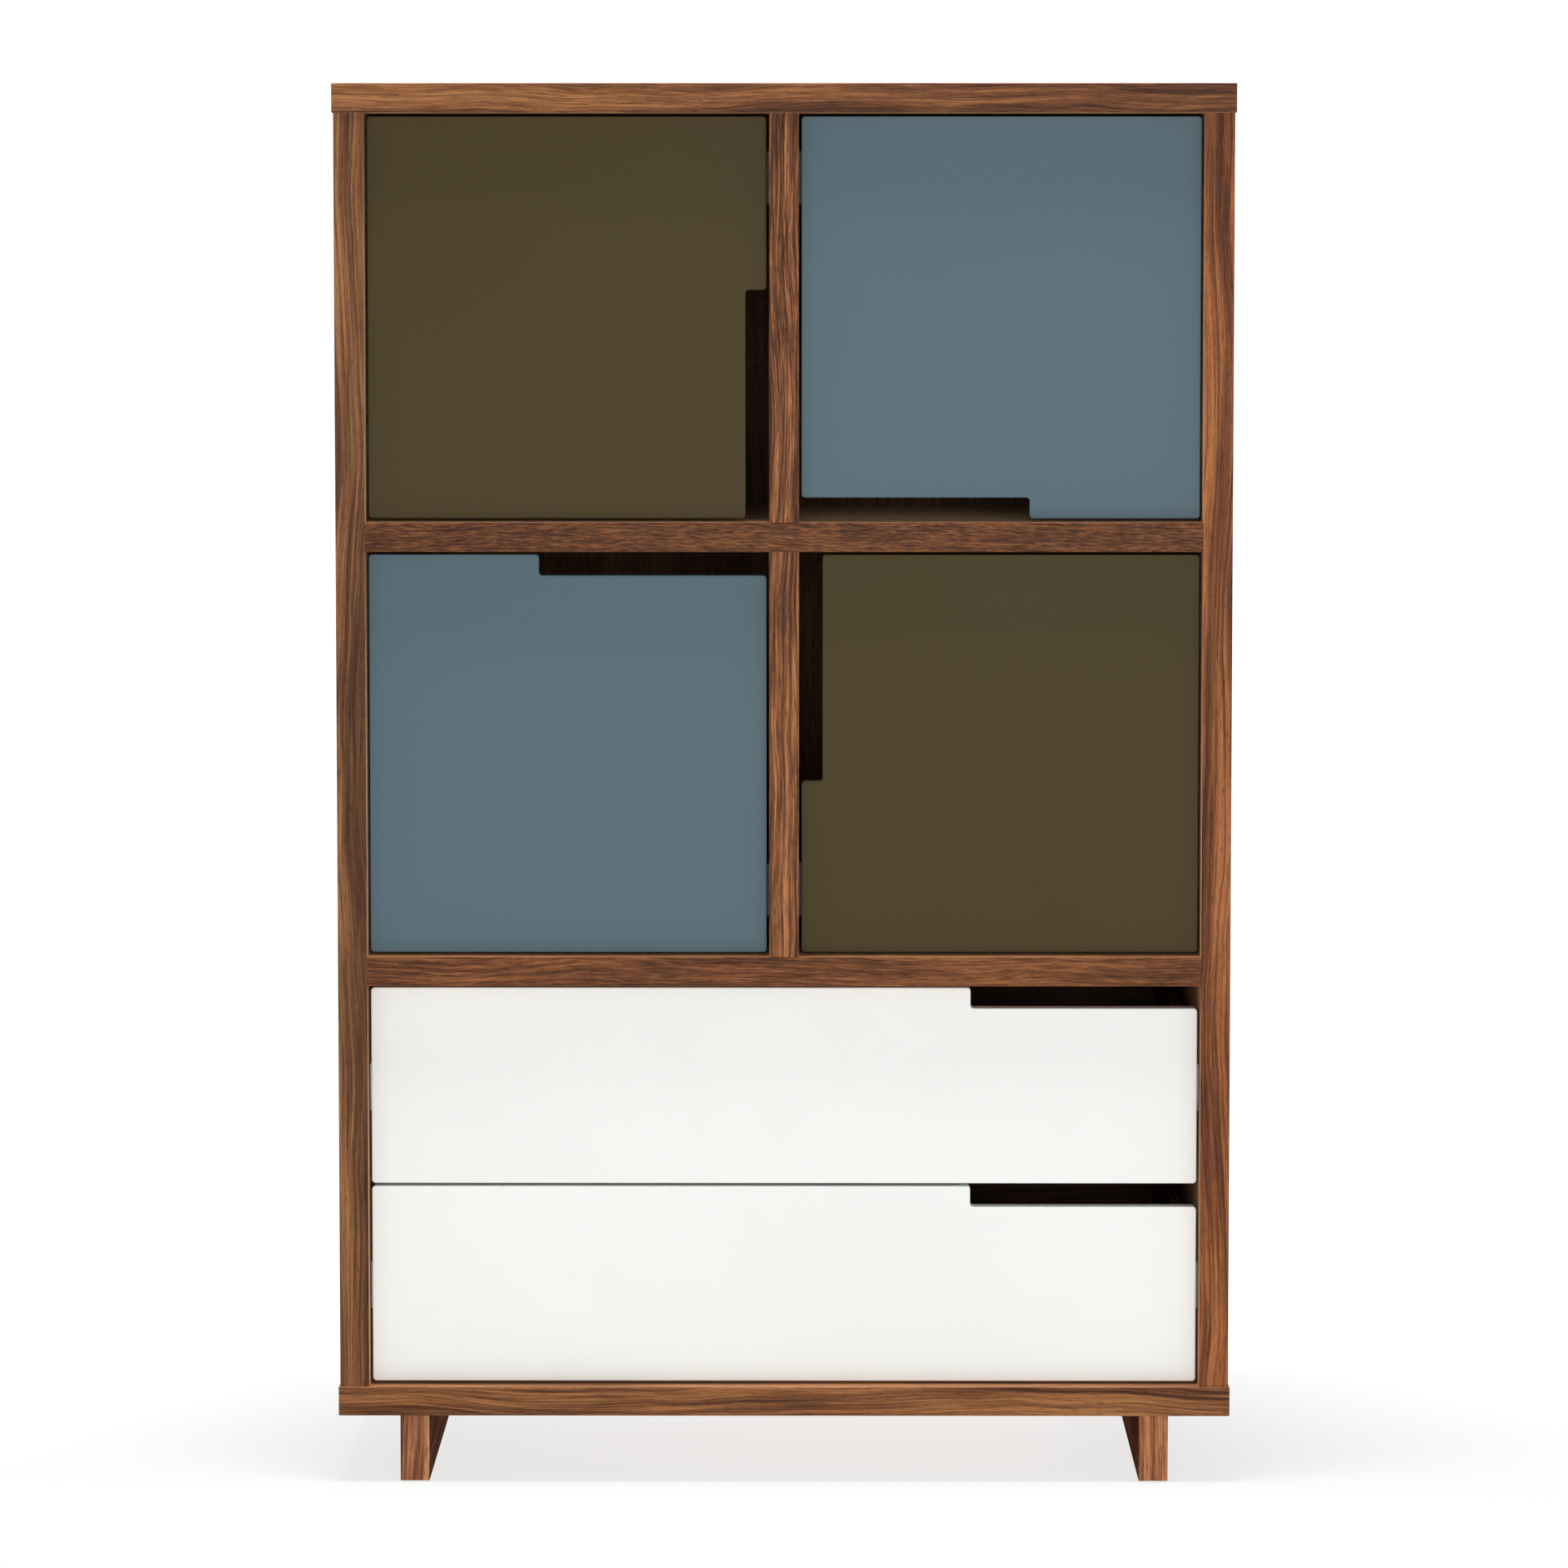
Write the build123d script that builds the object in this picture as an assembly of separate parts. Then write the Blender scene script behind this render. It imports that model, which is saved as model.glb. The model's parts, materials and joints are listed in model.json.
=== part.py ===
import math
import os

from build123d import *

# Cube storage unit: a walnut cabinet of two rows of two cubes behind hinged doors, over two
# full-width drawers, on two board legs. Millimetres, +X right, +Y to the back, +Z up.
# The origin is on the floor, under the middle of the cabinet.

# ---------------------------------------------------------------- driving dimensions
BOARD = 28.0  # thickness of every carcass board
CUBE_WIDTH = 384.0  # clear width of one cube
CUBE_HEIGHT = 387.0  # clear height of each of the three rows
DEPTH = 406.0  # front edge to back edge of the top and bottom boards
LEG_HEIGHT = 65.0  # floor to underside of the bottom board
CAP_OVERHANG = 1.5  # the top and bottom boards stand out past each side by this
CAP_REVEAL = 2.0  # and past the front and back edges of the sides by this
EDGE_EASE = 0.8  # radius on the long edges of the boards

# Doors and drawer fronts
FRONT_THICK = 18.0
FRONT_SETBACK = 16.0  # face of the fronts, behind the front edge of the top board
SIDE_GAP = 2.5  # between a front and the boards beside it
END_GAP = 3.0  # above, below and between fronts
NOTCH_LONG = 217.0  # finger notch, cut out of one corner of each front
NOTCH_SHORT = 20.0
FRONT_CORNER = 3.5  # radius of the corners of a front, seen from the front
FRONT_EASE = 1.0  # radius round the edge of its face

# Concealed hinges: a cup in the back of the door, and an arm that goes round to the side
HINGE_FROM_END = 75.0  # hinge centre from the top or bottom edge of its door
PIVOT_FROM_EDGE = 18.5  # hinge axis from the hinged edge of the door
PIVOT_BEHIND_FACE = 9.5
PIN_RADIUS = 1.5
BARREL_RADIUS = 2.6
RUNNING_CLEARANCE = 0.06  # radial, pin to barrel
CUP_RADIUS = 17.5
CUP_DEPTH = 12.5
CUP_SHEET = 0.8
CUP_FROM_EDGE = 23.0  # centre of the cup from the hinged edge of the door
WING_LONG = 62.0  # the cup's screw wings, end to end
WING_WIDE = 16.0
WING_THICK = 1.2
WING_SCREW_Z = 24.0  # above and below the cup centre
ARM_HIGH = 14.0
ARM_SHEET = 2.0
ARM_NECK = 17.0  # out from the pivot inside the cup, before the arm turns back
ARM_TURN = 24.0  # behind the pivot, where the arm crosses to the side
ARM_FOOT = 38.0  # length of the foot that lies on the plate
ARM_BEND = 3.0
PLATE_THICK = 4.0
PLATE_LONG = 26.0
PLATE_HIGH = 46.0
PLATE_SCREW_Z = 16.0  # above and below the hinge centre
PLATE_BEHIND_TURN = 8.0  # front of the plate, behind the arm's crossing
PLATE_CORNER = 5.0
CUP_RIM = 1.0  # the rim stands out past the cup by this
WING_CORNER = WING_WIDE / 2 - 0.5
FIT_CLEARANCE = 0.05  # radial, for pieces that are glued or pressed into a hole

# Magnetic catches, on the divider behind the free edge of each door
CATCH_HEIGHT = 50.0
CATCH_FROM_BOARD = 61.0  # catch centre from the board above or below it
CATCH_OUT = 12.0  # how far the catch stands off the divider
CATCH_DEEP = 15.0
CATCH_BLOCK = 18.0  # height of the magnet block in the middle
CATCH_EAR_OUT = 5.0  # thickness of the screw ears
CATCH_HOLE_SLACK = 0.3  # the ears' holes are wider, so that a catch can be set before it is tightened
CORE_HIGH = 14.0  # the magnet and its pole plates
CORE_DEEP = 11.0
POLE_THICK = 1.5
POLE_PROUD = 1.0
MAGNET_THICK = 4.0
STRIKE_THICK = 1.2
STRIKE_WIDE = 15.0
STRIKE_HIGH = 34.0
STRIKE_CORNER = 2.0
STRIKE_INSET = 1.5  # strike plate, in from the free edge of the door
CATCH_AIR = 0.4  # pole to strike, door closed

# Back panel, held in a groove
BACK_THICK = 6.0
BACK_FROM_REAR = 8.0  # groove to the rear edge of the sides
GROOVE_DEEP = 8.0
GROOVE_CLEARANCE = 0.2
BACK_SHORT = 0.5  # the panel's edge stops this short of the bottom of its groove

# Legs
LEG_INSET = 57.5  # outer face of a leg board, in from the outer face of the cabinet's side
GLIDE_RADIUS = 11.0
GLIDE_THICK = 1.5
GLIDE_EASE = 0.5
GLIDE_FROM_END = 34.0

# Drawers and their runners
DRAWER_WALL = 12.0
DRAWER_BOTTOM = 6.0
BOX_ABOVE_FRONT_FOOT = 12.0  # underside of the drawer box over the lower edge of its front
BOX_BELOW_NOTCH = 5.0  # top of the drawer box under the bottom of the finger notch
BOX_LENGTH = 350.0
BOTTOM_ABOVE_EDGE = 10.0
BOTTOM_IN_GROOVE = 5.5
BOTTOM_SLACK = 0.3  # between the drawer bottom's edge and the end of its groove
WALL_EASE = 2.0  # radius on the upper edges of the drawer sides
RUNNER_SPACE = 12.7  # between the cabinet side and the drawer box
RUNNER_LENGTH = 350.0
RUNNER_SETBACK = 2.0  # front of the runners, behind the back of the drawer front
RUNNER_SHEET = 1.2
RUNNER_CENTRE = 90.0  # above the lower edge of the front
RACE_GAP = 4.0  # between nested runner members, where the balls run
CABINET_MEMBER_HIGH = 45.0
MID_STANDOFF = 2.6  # screw head space behind the middle member
MEMBER_SPACE = 0.8  # sideways, between the members and from them to the drawer
CABINET_MEMBER_REACH = 9.5  # how far the cabinet member stands off the side
CAGE_LONG = 160.0  # ball cages; the outer pair is at the rear of the middle member
CAGE_FROM_END = 10.0  # and the inner pair at its front
CAGE_WIDE = 4.0
CAGE_AIR = 0.1

# Fastener sizes
DOWEL_RADIUS = 4.0
DOWEL_LENGTH = 35.0
DOWEL_SHORT_END = 12.0  # the part of a dowel that goes into the face of a board
BOLT_RADIUS = 3.0
BOLT_HEAD_RADIUS = 6.0
BOLT_HEAD_THICK = 3.5
BOLT_LENGTH = 40.0
BOLT_COUNTERBORE = 4.5
BOLT_HEAD_EASE = 1.0
BOLT_KEY = 2.0  # half across the flats of the hex socket
BOLT_HEAD_ROOM = 1.0  # counterbore wall round the head
BOLT_SHANK_ROOM = 0.3
INSERT_RADIUS = 5.0
INSERT_LENGTH = 14.0
BOLT_BEYOND_INSERT = 6.0  # the bolt's hole runs on past the insert
SCREW_RADIUS = 1.75
SCREW_HEAD_RADIUS = 3.5
SCREW_HEAD_THICK = 1.8
SCREW_HEAD_EASE = 0.7
RECESS_REACH = 2.4  # arms of the cross recess, from the middle
RECESS_WIDE = 0.9
RECESS_DEEP = 1.08
SCREW_POINT = 3.0
PILOT_SPARE = 0.5  # a blind hole is this much deeper than what goes into it
CATCH_SCREW_LENGTH = 17.8
STRIKE_SCREW_LENGTH = 12.0
BACK_SCREW_LENGTH = 25.0
RUNNER_SCREW_LENGTH = 14.0
WING_SCREW_LENGTH = 13.0
PLATE_SCREW_LENGTH = 17.0
ARM_SCREW_LENGTH = 14.0
DRAWER_RUNNER_SCREW_LENGTH = 10.0
FRONT_SCREW_LENGTH = 25.0
CORNER_SCREW_LENGTH = 30.0

# ---------------------------------------------------------------- places worked out from them
INNER_HALF = CUBE_WIDTH + BOARD / 2  # inner face of a side
OUTER_HALF = INNER_HALF + BOARD  # outer face of a side
CAP_HALF = OUTER_HALF + CAP_OVERHANG
FRONT = -DEPTH / 2
REAR = DEPTH / 2
CARCASS_FRONT = FRONT + CAP_REVEAL
CARCASS_REAR = REAR - CAP_REVEAL
BACK_REAR = CARCASS_REAR - BACK_FROM_REAR
BACK_FACE = BACK_REAR - BACK_THICK  # front of the back panel
FACE = FRONT + FRONT_SETBACK  # face of the doors and drawer fronts
FACE_REAR = FACE + FRONT_THICK

BOTTOM_Z = LEG_HEIGHT + BOARD  # top of the bottom board, which is the floor of the drawer row
LOWER_SHELF_Z = BOTTOM_Z + CUBE_HEIGHT  # underside of the shelf over the drawers
LOWER_ROW_Z = LOWER_SHELF_Z + BOARD
UPPER_SHELF_Z = LOWER_ROW_Z + CUBE_HEIGHT
UPPER_ROW_Z = UPPER_SHELF_Z + BOARD
TOP_Z = UPPER_ROW_Z + CUBE_HEIGHT  # underside of the top board
HEIGHT = TOP_Z + BOARD

ROW_FLOOR = {"upper": UPPER_ROW_Z, "lower": LOWER_ROW_Z}
SIDE_SIGN = {"left": -1, "right": 1}
DOORS = [(row, side) for row in ("upper", "lower") for side in ("left", "right")]
DOOR_EDGE = INNER_HALF - SIDE_GAP  # hinged edge of a door
PIVOT_X = DOOR_EDGE - PIVOT_FROM_EDGE
PIVOT_Y = FACE + PIVOT_BEHIND_FACE
CUP_X = DOOR_EDGE - CUP_FROM_EDGE
FOOT_FRONT = PIVOT_Y + ARM_TURN
PLATE_FRONT = FOOT_FRONT + PLATE_BEHIND_TURN

DRAWER_FRONT_HIGH = (CUBE_HEIGHT - 3 * END_GAP) / 2
DRAWER_FOOT = {"lower": BOTTOM_Z + END_GAP}
DRAWER_FOOT["upper"] = DRAWER_FOOT["lower"] + DRAWER_FRONT_HIGH + END_GAP
BOX_HALF = INNER_HALF - RUNNER_SPACE  # outer face of a drawer side
BOX_INNER_HALF = BOX_HALF - DRAWER_WALL
BOX_HIGH = DRAWER_FRONT_HIGH - NOTCH_SHORT - BOX_BELOW_NOTCH - BOX_ABOVE_FRONT_FOOT
RUNNER_FRONT = FACE_REAR + RUNNER_SETBACK
MID_MEMBER_HIGH = CABINET_MEMBER_HIGH - 2 * (RUNNER_SHEET + RACE_GAP)
DRAWER_MEMBER_HIGH = MID_MEMBER_HIGH - 2 * (RUNNER_SHEET + RACE_GAP)
MID_WEB = INNER_HALF - RUNNER_SHEET - MID_STANDOFF

LEG_OUTER = OUTER_HALF - LEG_INSET
LEG_MIDDLE = LEG_OUTER - BOARD / 2

# Fastener rows, from front to back
SIDE_DOWEL_Y = (-150.0, -50.0, 50.0, 150.0)
DIVIDER_DOWEL_Y = (-140.0, 0.0, 140.0)
LEG_BOLT_Y = (-150.0, 0.0, 150.0)
LEG_DOWEL_Y = (-75.0, 75.0)
RUNNER_SCREW_Y = (-140.0, 0.0, 150.0)
CATCH_SCREW_Z = 17.5  # above and below the catch centre
STRIKE_SCREW_Z = 12.5
SHELF_SCREW_SHARES = (-0.85, -0.5, -0.15, 0.15, 0.5, 0.85)  # of half the clear width
DIVIDER_SCREW_SHARES = (0.25, 0.75)  # of the cube's height
FRONT_SCREW_SHARES = (-0.8, -0.27, 0.27, 0.8)  # of half the drawer's inner width
FRONT_SCREW_ENDS = (40.0, 35.0)  # above the box's lower edge, below its upper edge
CORNER_SCREW_ENDS = (30.0, 20.0)

TOUCH = 0.01  # two places closer than this are the same place


# ---------------------------------------------------------------- small tools
def block(x0, x1, y0, y1, z0, z1):
    """A box between two corners."""
    middle = Pos((x0 + x1) / 2, (y0 + y1) / 2, (z0 + z1) / 2)
    return middle * Box(abs(x1 - x0), abs(y1 - y0), abs(z1 - z0))


def rod(x, y, z, radius, length, axis=Axis.Z):
    """A cylinder from (x, y, z) along an axis; a negative length goes the other way."""
    start = Vector(x, y, z)
    way = axis.direction * (1 if length > 0 else -1)
    return Plane(origin=start, z_dir=way) * Cylinder(
        radius, abs(length), align=(Align.CENTER, Align.CENTER, Align.MIN)
    )


def ease(solid, edges, radius=EDGE_EASE):
    return fillet(edges(solid), radius)


def along_z_at_front(solid):
    """The upright edges at the front of a solid."""
    front = solid.bounding_box().min.Y
    return solid.edges().filter_by(Axis.Z).filter_by(lambda e: e.center().Y < front + TOUCH)


def along_x_at_front(solid):
    front = solid.bounding_box().min.Y
    return solid.edges().filter_by(Axis.X).filter_by(lambda e: e.center().Y < front + TOUCH)


def cut_all(solid, tools):
    """Cuts every tool out of a solid, one after another, and gives back one solid."""
    for tool in tools:
        solid = solid - tool
    return solid


def save(name, shapes):
    """Writes one node: a single solid, or a group of separate solids."""
    shapes = shapes if isinstance(shapes, list) else [shapes]
    solids = [s for shape in shapes for s in shape.solids()]
    export_step(Compound(label=name, children=solids), f"parts/{name}.step")


# ---------------------------------------------------------------- fasteners
def cross_recess():
    """The cutter of a cross slot whose mouth is at Z = 0."""
    bar = Box(RECESS_REACH * 2, RECESS_WIDE, RECESS_DEEP * 2)
    return bar + Rot(0, 0, 90) * bar


def screw(length, countersunk=False):
    """A wood screw whose head ends at Z = 0 and whose point is at -Z."""
    if countersunk:
        head = Pos(0, 0, -SCREW_HEAD_THICK / 2) * Cone(
            SCREW_RADIUS, SCREW_HEAD_RADIUS, SCREW_HEAD_THICK
        )
    else:
        head = rod(0, 0, 0, SCREW_HEAD_RADIUS, -SCREW_HEAD_THICK)
        head = fillet(head.edges().sort_by(Axis.Z)[-1], SCREW_HEAD_EASE)
    tip = SCREW_POINT
    shank = rod(0, 0, -SCREW_HEAD_THICK, SCREW_RADIUS, -(length - SCREW_HEAD_THICK - tip))
    point = Pos(0, 0, -length + tip / 2) * Cone(SCREW_RADIUS / 4, SCREW_RADIUS, tip)
    return head + shank + point - cross_recess()


def bolt():
    """A socket-head bolt, head top at Z = 0, standing point down."""
    head = rod(0, 0, 0, BOLT_HEAD_RADIUS, -BOLT_HEAD_THICK)
    head = fillet(head.edges().sort_by(Axis.Z)[-1], BOLT_HEAD_EASE)
    shank = rod(0, 0, -BOLT_HEAD_THICK, BOLT_RADIUS, -(BOLT_LENGTH - BOLT_HEAD_THICK))
    socket = Pos(0, 0, -BOLT_HEAD_THICK / 2) * extrude(
        RegularPolygon(BOLT_KEY, 6, major_radius=False), BOLT_HEAD_THICK
    )
    return head + shank - socket


def place(shape, x, y, z, head_towards):
    """Puts a fastener with its head top at a point, facing along a direction."""
    return Plane(origin=(x, y, z), z_dir=head_towards) * shape


def screw_hole(x, y, z, head_towards, length):
    """The pilot hole of a screw placed there, a little deeper than the screw."""
    hole = rod(0, 0, 0, SCREW_RADIUS + FIT_CLEARANCE, -(length + PILOT_SPARE))
    return place(hole, x, y, z, head_towards)


def countersunk_hole(x, y, z, head_towards, length):
    """The same with the seat of a countersunk head at its mouth."""
    seat = Pos(0, 0, -SCREW_HEAD_THICK / 2) * Cone(
        SCREW_RADIUS + FIT_CLEARANCE, SCREW_HEAD_RADIUS + FIT_CLEARANCE, SCREW_HEAD_THICK
    )
    hole = rod(0, 0, 0, SCREW_RADIUS + FIT_CLEARANCE, -(length + PILOT_SPARE))
    return place(seat + hole, x, y, z, head_towards)


# ---------------------------------------------------------------- dowels
def dowel_sites():
    """Every dowel as (x, y, z of the joint, axis, sign of the way to its short end)."""
    sites = []
    for x_sign in (-1, 1):
        side_middle = x_sign * (INNER_HALF + BOARD / 2)
        for y in SIDE_DOWEL_Y:
            sites.append((side_middle, y, TOP_Z, Axis.Z, 1))
            sites.append((side_middle, y, BOTTOM_Z, Axis.Z, -1))
            for shelf_z in (LOWER_SHELF_Z, UPPER_SHELF_Z):
                middle = shelf_z + BOARD / 2
                sites.append((x_sign * INNER_HALF, y, middle, Axis.X, x_sign))
        for y in LEG_DOWEL_Y:
            sites.append((x_sign * LEG_MIDDLE, y, LEG_HEIGHT, Axis.Z, 1))
    for row_z in (LOWER_ROW_Z, UPPER_ROW_Z):
        for y in DIVIDER_DOWEL_Y:
            sites.append((0, y, row_z, Axis.Z, -1))
            sites.append((0, y, row_z + CUBE_HEIGHT, Axis.Z, 1))
    return sites


def dowel(site, extra=0.0):
    """One dowel; extra makes its hole, wider by the fit and longer at both ends."""
    x, y, z, axis, sign = site
    start = Vector(x, y, z) + axis.direction * sign * (DOWEL_SHORT_END + extra)
    radius = DOWEL_RADIUS + (FIT_CLEARANCE if extra else 0.0)
    return rod(*start, radius, -sign * (DOWEL_LENGTH + 2 * extra), axis)


def dowel_holes(box):
    """The holes of the dowels whose joint lies on or in a box (low corner, high corner)."""
    low, high = box
    inside = [
        site
        for site in dowel_sites()
        if all(low[i] - TOUCH <= site[i] <= high[i] + TOUCH for i in range(3))
    ]
    return [dowel(site, extra=PILOT_SPARE) for site in inside]


# ---------------------------------------------------------------- hinges
def hinge_heights(row):
    """The two hinge centres of a door in that row."""
    floor = ROW_FLOOR[row]
    inset = END_GAP + HINGE_FROM_END
    return floor + inset, floor + CUBE_HEIGHT - inset


def hinge_cup(sign, z):
    """A pressed steel cup with a screw wing above and below it on the back of the door."""
    x = sign * CUP_X
    can = rod(x, FACE_REAR, z, CUP_RADIUS, -CUP_DEPTH, Axis.Y)
    hollow = rod(x, FACE_REAR, z, CUP_RADIUS - CUP_SHEET, -(CUP_DEPTH - CUP_SHEET), Axis.Y)
    wing = block(
        x - WING_WIDE / 2, x + WING_WIDE / 2, FACE_REAR, FACE_REAR + WING_THICK,
        z - WING_LONG / 2, z + WING_LONG / 2,
    )
    wing = fillet(wing.edges().filter_by(Axis.Y), WING_CORNER)
    rim = rod(x, FACE_REAR, z, CUP_RADIUS + CUP_RIM, WING_THICK, Axis.Y)
    mouth = rod(x, FACE_REAR, z, CUP_RADIUS - CUP_SHEET, WING_THICK, Axis.Y)
    holes = [screw_hole(*p, WING_SCREW_LENGTH) for p in wing_screw_places(sign, z)]
    return cut_all(can + wing + rim, [hollow, mouth, *holes])


def hinge_pin(sign, z):
    """The pin that crosses the cup from wall to wall."""
    offset = PIVOT_X - CUP_X
    half = math.sqrt((CUP_RADIUS - CUP_SHEET) ** 2 - (offset + PIN_RADIUS) ** 2)
    return rod(sign * PIVOT_X, PIVOT_Y, z - half, PIN_RADIUS, 2 * half)


def wing_screw_places(sign, z):
    y = FACE_REAR + WING_THICK + SCREW_HEAD_THICK
    return [(sign * CUP_X, y, z + s * WING_SCREW_Z, (0, 1, 0)) for s in (-1, 1)]


def hinge_arm(sign, z):
    """A bent steel arm: a barrel on the pin, a neck out of the cup, and a foot on the plate."""
    foot_x = INNER_HALF - PLATE_THICK - ARM_SHEET / 2
    neck_x = PIVOT_X - ARM_NECK
    line = FilletPolyline(
        (sign * PIVOT_X, PIVOT_Y),
        (sign * neck_x, PIVOT_Y),
        (sign * neck_x, FOOT_FRONT),
        (sign * foot_x, FOOT_FRONT),
        (sign * foot_x, FOOT_FRONT + ARM_FOOT),
        radius=ARM_BEND,
    )
    strip = extrude(Pos(0, 0, z - ARM_HIGH / 2) * trace(line, ARM_SHEET), ARM_HIGH)
    low = z - ARM_HIGH / 2
    barrel = rod(sign * PIVOT_X, PIVOT_Y, low, BARREL_RADIUS, ARM_HIGH)
    bore = rod(sign * PIVOT_X, PIVOT_Y, low, PIN_RADIUS + RUNNING_CLEARANCE, ARM_HIGH)
    hole = screw_hole(*arm_screw_place(sign, z), ARM_SCREW_LENGTH)
    return cut_all(strip + barrel, [bore, hole])


def hinge_plate(sign, z):
    """The mounting plate on the side of the cabinet, with two screws and the arm's screw."""
    plate = block(
        sign * INNER_HALF, sign * (INNER_HALF - PLATE_THICK), PLATE_FRONT, PLATE_FRONT + PLATE_LONG,
        z - PLATE_HIGH / 2, z + PLATE_HIGH / 2,
    )
    plate = fillet(plate.edges().filter_by(Axis.X), PLATE_CORNER)
    holes = [screw_hole(*p, PLATE_SCREW_LENGTH) for p in plate_screw_places(sign, z)]
    return cut_all(plate, [*holes, screw_hole(*arm_screw_place(sign, z), ARM_SCREW_LENGTH)])


def plate_screw_places(sign, z):
    x = sign * (INNER_HALF - PLATE_THICK - SCREW_HEAD_THICK)
    y = PLATE_FRONT + PLATE_LONG / 2
    return [(x, y, z + s * PLATE_SCREW_Z, (-sign, 0, 0)) for s in (-1, 1)]


def arm_screw_place(sign, z):
    """The screw that holds the arm's foot to the plate and the side."""
    x = sign * (INNER_HALF - PLATE_THICK - ARM_SHEET - SCREW_HEAD_THICK)
    return (x, PLATE_FRONT + PLATE_LONG / 2, z, (-sign, 0, 0))


def hinge_sites():
    """Every hinge as (sign of its side, z)."""
    return [(SIDE_SIGN[side], z) for row, side in DOORS for z in hinge_heights(row)]


def side_hinge_screws(sign=None):
    """Screws of the plates and arms into the sides, as (place, length)."""
    screws = []
    for hinge_sign, z in hinge_sites():
        if sign in (None, hinge_sign):
            screws += [(p, PLATE_SCREW_LENGTH) for p in plate_screw_places(hinge_sign, z)]
            screws.append((arm_screw_place(hinge_sign, z), ARM_SCREW_LENGTH))
    return screws


# ---------------------------------------------------------------- catches
def catch_sites():
    """Every catch as (row, side, x of the divider face, z of its centre)."""
    sites = []
    for row, side in DOORS:
        floor = ROW_FLOOR[row]
        z = floor + CUBE_HEIGHT - CATCH_FROM_BOARD if row == "upper" else floor + CATCH_FROM_BOARD
        sites.append((row, side, SIDE_SIGN[side] * BOARD / 2, z))
    return sites


CATCH_FRONT = FACE_REAR + STRIKE_THICK + CATCH_AIR + POLE_PROUD
POLE_X = (CATCH_OUT - MAGNET_THICK) / 2  # divider face to the near side of the magnet


def catch_block(x, sign, near, far, y0, y1, z, high):
    """A block between two distances off the divider face, centred on height z."""
    return block(x + sign * near, x + sign * far, y0, y1, z - high / 2, z + high / 2)


def catch_magnet(x, z, sign):
    """The magnet between two steel pole plates that stand proud of the housing."""
    front, rear = CATCH_FRONT - POLE_PROUD, CATCH_FRONT + CORE_DEEP
    far = POLE_X + MAGNET_THICK
    return [
        catch_block(x, sign, POLE_X, far, CATCH_FRONT, rear, z, CORE_HIGH),
        catch_block(x, sign, POLE_X - POLE_THICK, POLE_X, front, rear, z, CORE_HIGH),
        catch_block(x, sign, far, far + POLE_THICK, front, rear, z, CORE_HIGH),
    ]


def catch_housing(x, z, sign):
    """A moulded housing: a block with a pocket for the magnet, between two screw ears."""
    rear = CATCH_FRONT + CATCH_DEEP
    ears = catch_block(x, sign, 0, CATCH_EAR_OUT, CATCH_FRONT, rear, z, CATCH_HEIGHT)
    body = catch_block(x, sign, 0, CATCH_OUT, CATCH_FRONT, rear, z, CATCH_BLOCK)
    near = POLE_X - POLE_THICK - FIT_CLEARANCE
    far = POLE_X + MAGNET_THICK + POLE_THICK + FIT_CLEARANCE
    core_rear = CATCH_FRONT + CORE_DEEP + FIT_CLEARANCE
    high = CORE_HIGH + 2 * FIT_CLEARANCE
    housing = ears + body - catch_block(x, sign, near, far, CATCH_FRONT, core_rear, z, high)
    for z_sign in (-1, 1):
        screw_z = z + z_sign * CATCH_SCREW_Z
        y = CATCH_FRONT + CATCH_DEEP / 2
        housing -= rod(x, y, screw_z, SCREW_RADIUS + CATCH_HOLE_SLACK, sign * CATCH_EAR_OUT, Axis.X)
    return housing


def catch_screw_places():
    """Heads of the catch screws, as (x, y, z, direction the head faces)."""
    y = CATCH_FRONT + CATCH_DEEP / 2
    return [
        (x + SIDE_SIGN[side] * (CATCH_EAR_OUT + SCREW_HEAD_THICK), y, z + s * CATCH_SCREW_Z,
         (SIDE_SIGN[side], 0, 0))
        for row, side, x, z in catch_sites()
        for s in (-1, 1)
    ]


def strike_place(side):
    """Low and high x of the strike plate on the back of a door."""
    sign = SIDE_SIGN[side]
    near = sign * (BOARD / 2 + SIDE_GAP + STRIKE_INSET)
    return sorted((near, near + sign * STRIKE_WIDE))


def strike_screw_places(side, z):
    x = sum(strike_place(side)) / 2
    return [(x, FACE_REAR + STRIKE_THICK, z + s * STRIKE_SCREW_Z, (0, 1, 0)) for s in (-1, 1)]


def strike(side, z):
    """A thin steel plate that the catch holds, with two countersunk holes."""
    x0, x1 = strike_place(side)
    half = STRIKE_HIGH / 2
    plate = block(x0, x1, FACE_REAR, FACE_REAR + STRIKE_THICK, z - half, z + half)
    plate = fillet(plate.edges().filter_by(Axis.Y), STRIKE_CORNER)
    holes = [countersunk_hole(*p, STRIKE_SCREW_LENGTH) for p in strike_screw_places(side, z)]
    return cut_all(plate, holes)


# ---------------------------------------------------------------- doors and drawer fronts
def notched_front(x0, x1, z0, z1, side, end, notch_x, notch_z):
    """A front whose corner at (side, end) is cut away for the fingers.

    side is 1 for the right corner and -1 for the left; end is 1 for the top, -1 for the bottom.
    """
    near_x, far_x = (x1, x0) if side > 0 else (x0, x1)
    near_z, far_z = (z1, z0) if end > 0 else (z0, z1)
    inner_x = near_x - side * notch_x
    inner_z = near_z - end * notch_z
    corners = [
        (far_x, far_z),
        (near_x, far_z),
        (near_x, inner_z),
        (inner_x, inner_z),
        (inner_x, near_z),
        (far_x, near_z),
    ]
    outline = make_face(Polyline(*corners, close=True))
    outline = fillet(outline.vertices(), FRONT_CORNER)
    standing = Plane(origin=(0, FACE_REAR, 0), x_dir=(1, 0, 0), z_dir=(0, -1, 0))
    panel = extrude(standing * outline, FRONT_THICK)
    face_edges = panel.edges().filter_by(lambda e: abs(e.bounding_box().max.Y - FACE) < TOUCH)
    return fillet(face_edges, FRONT_EASE)


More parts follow.
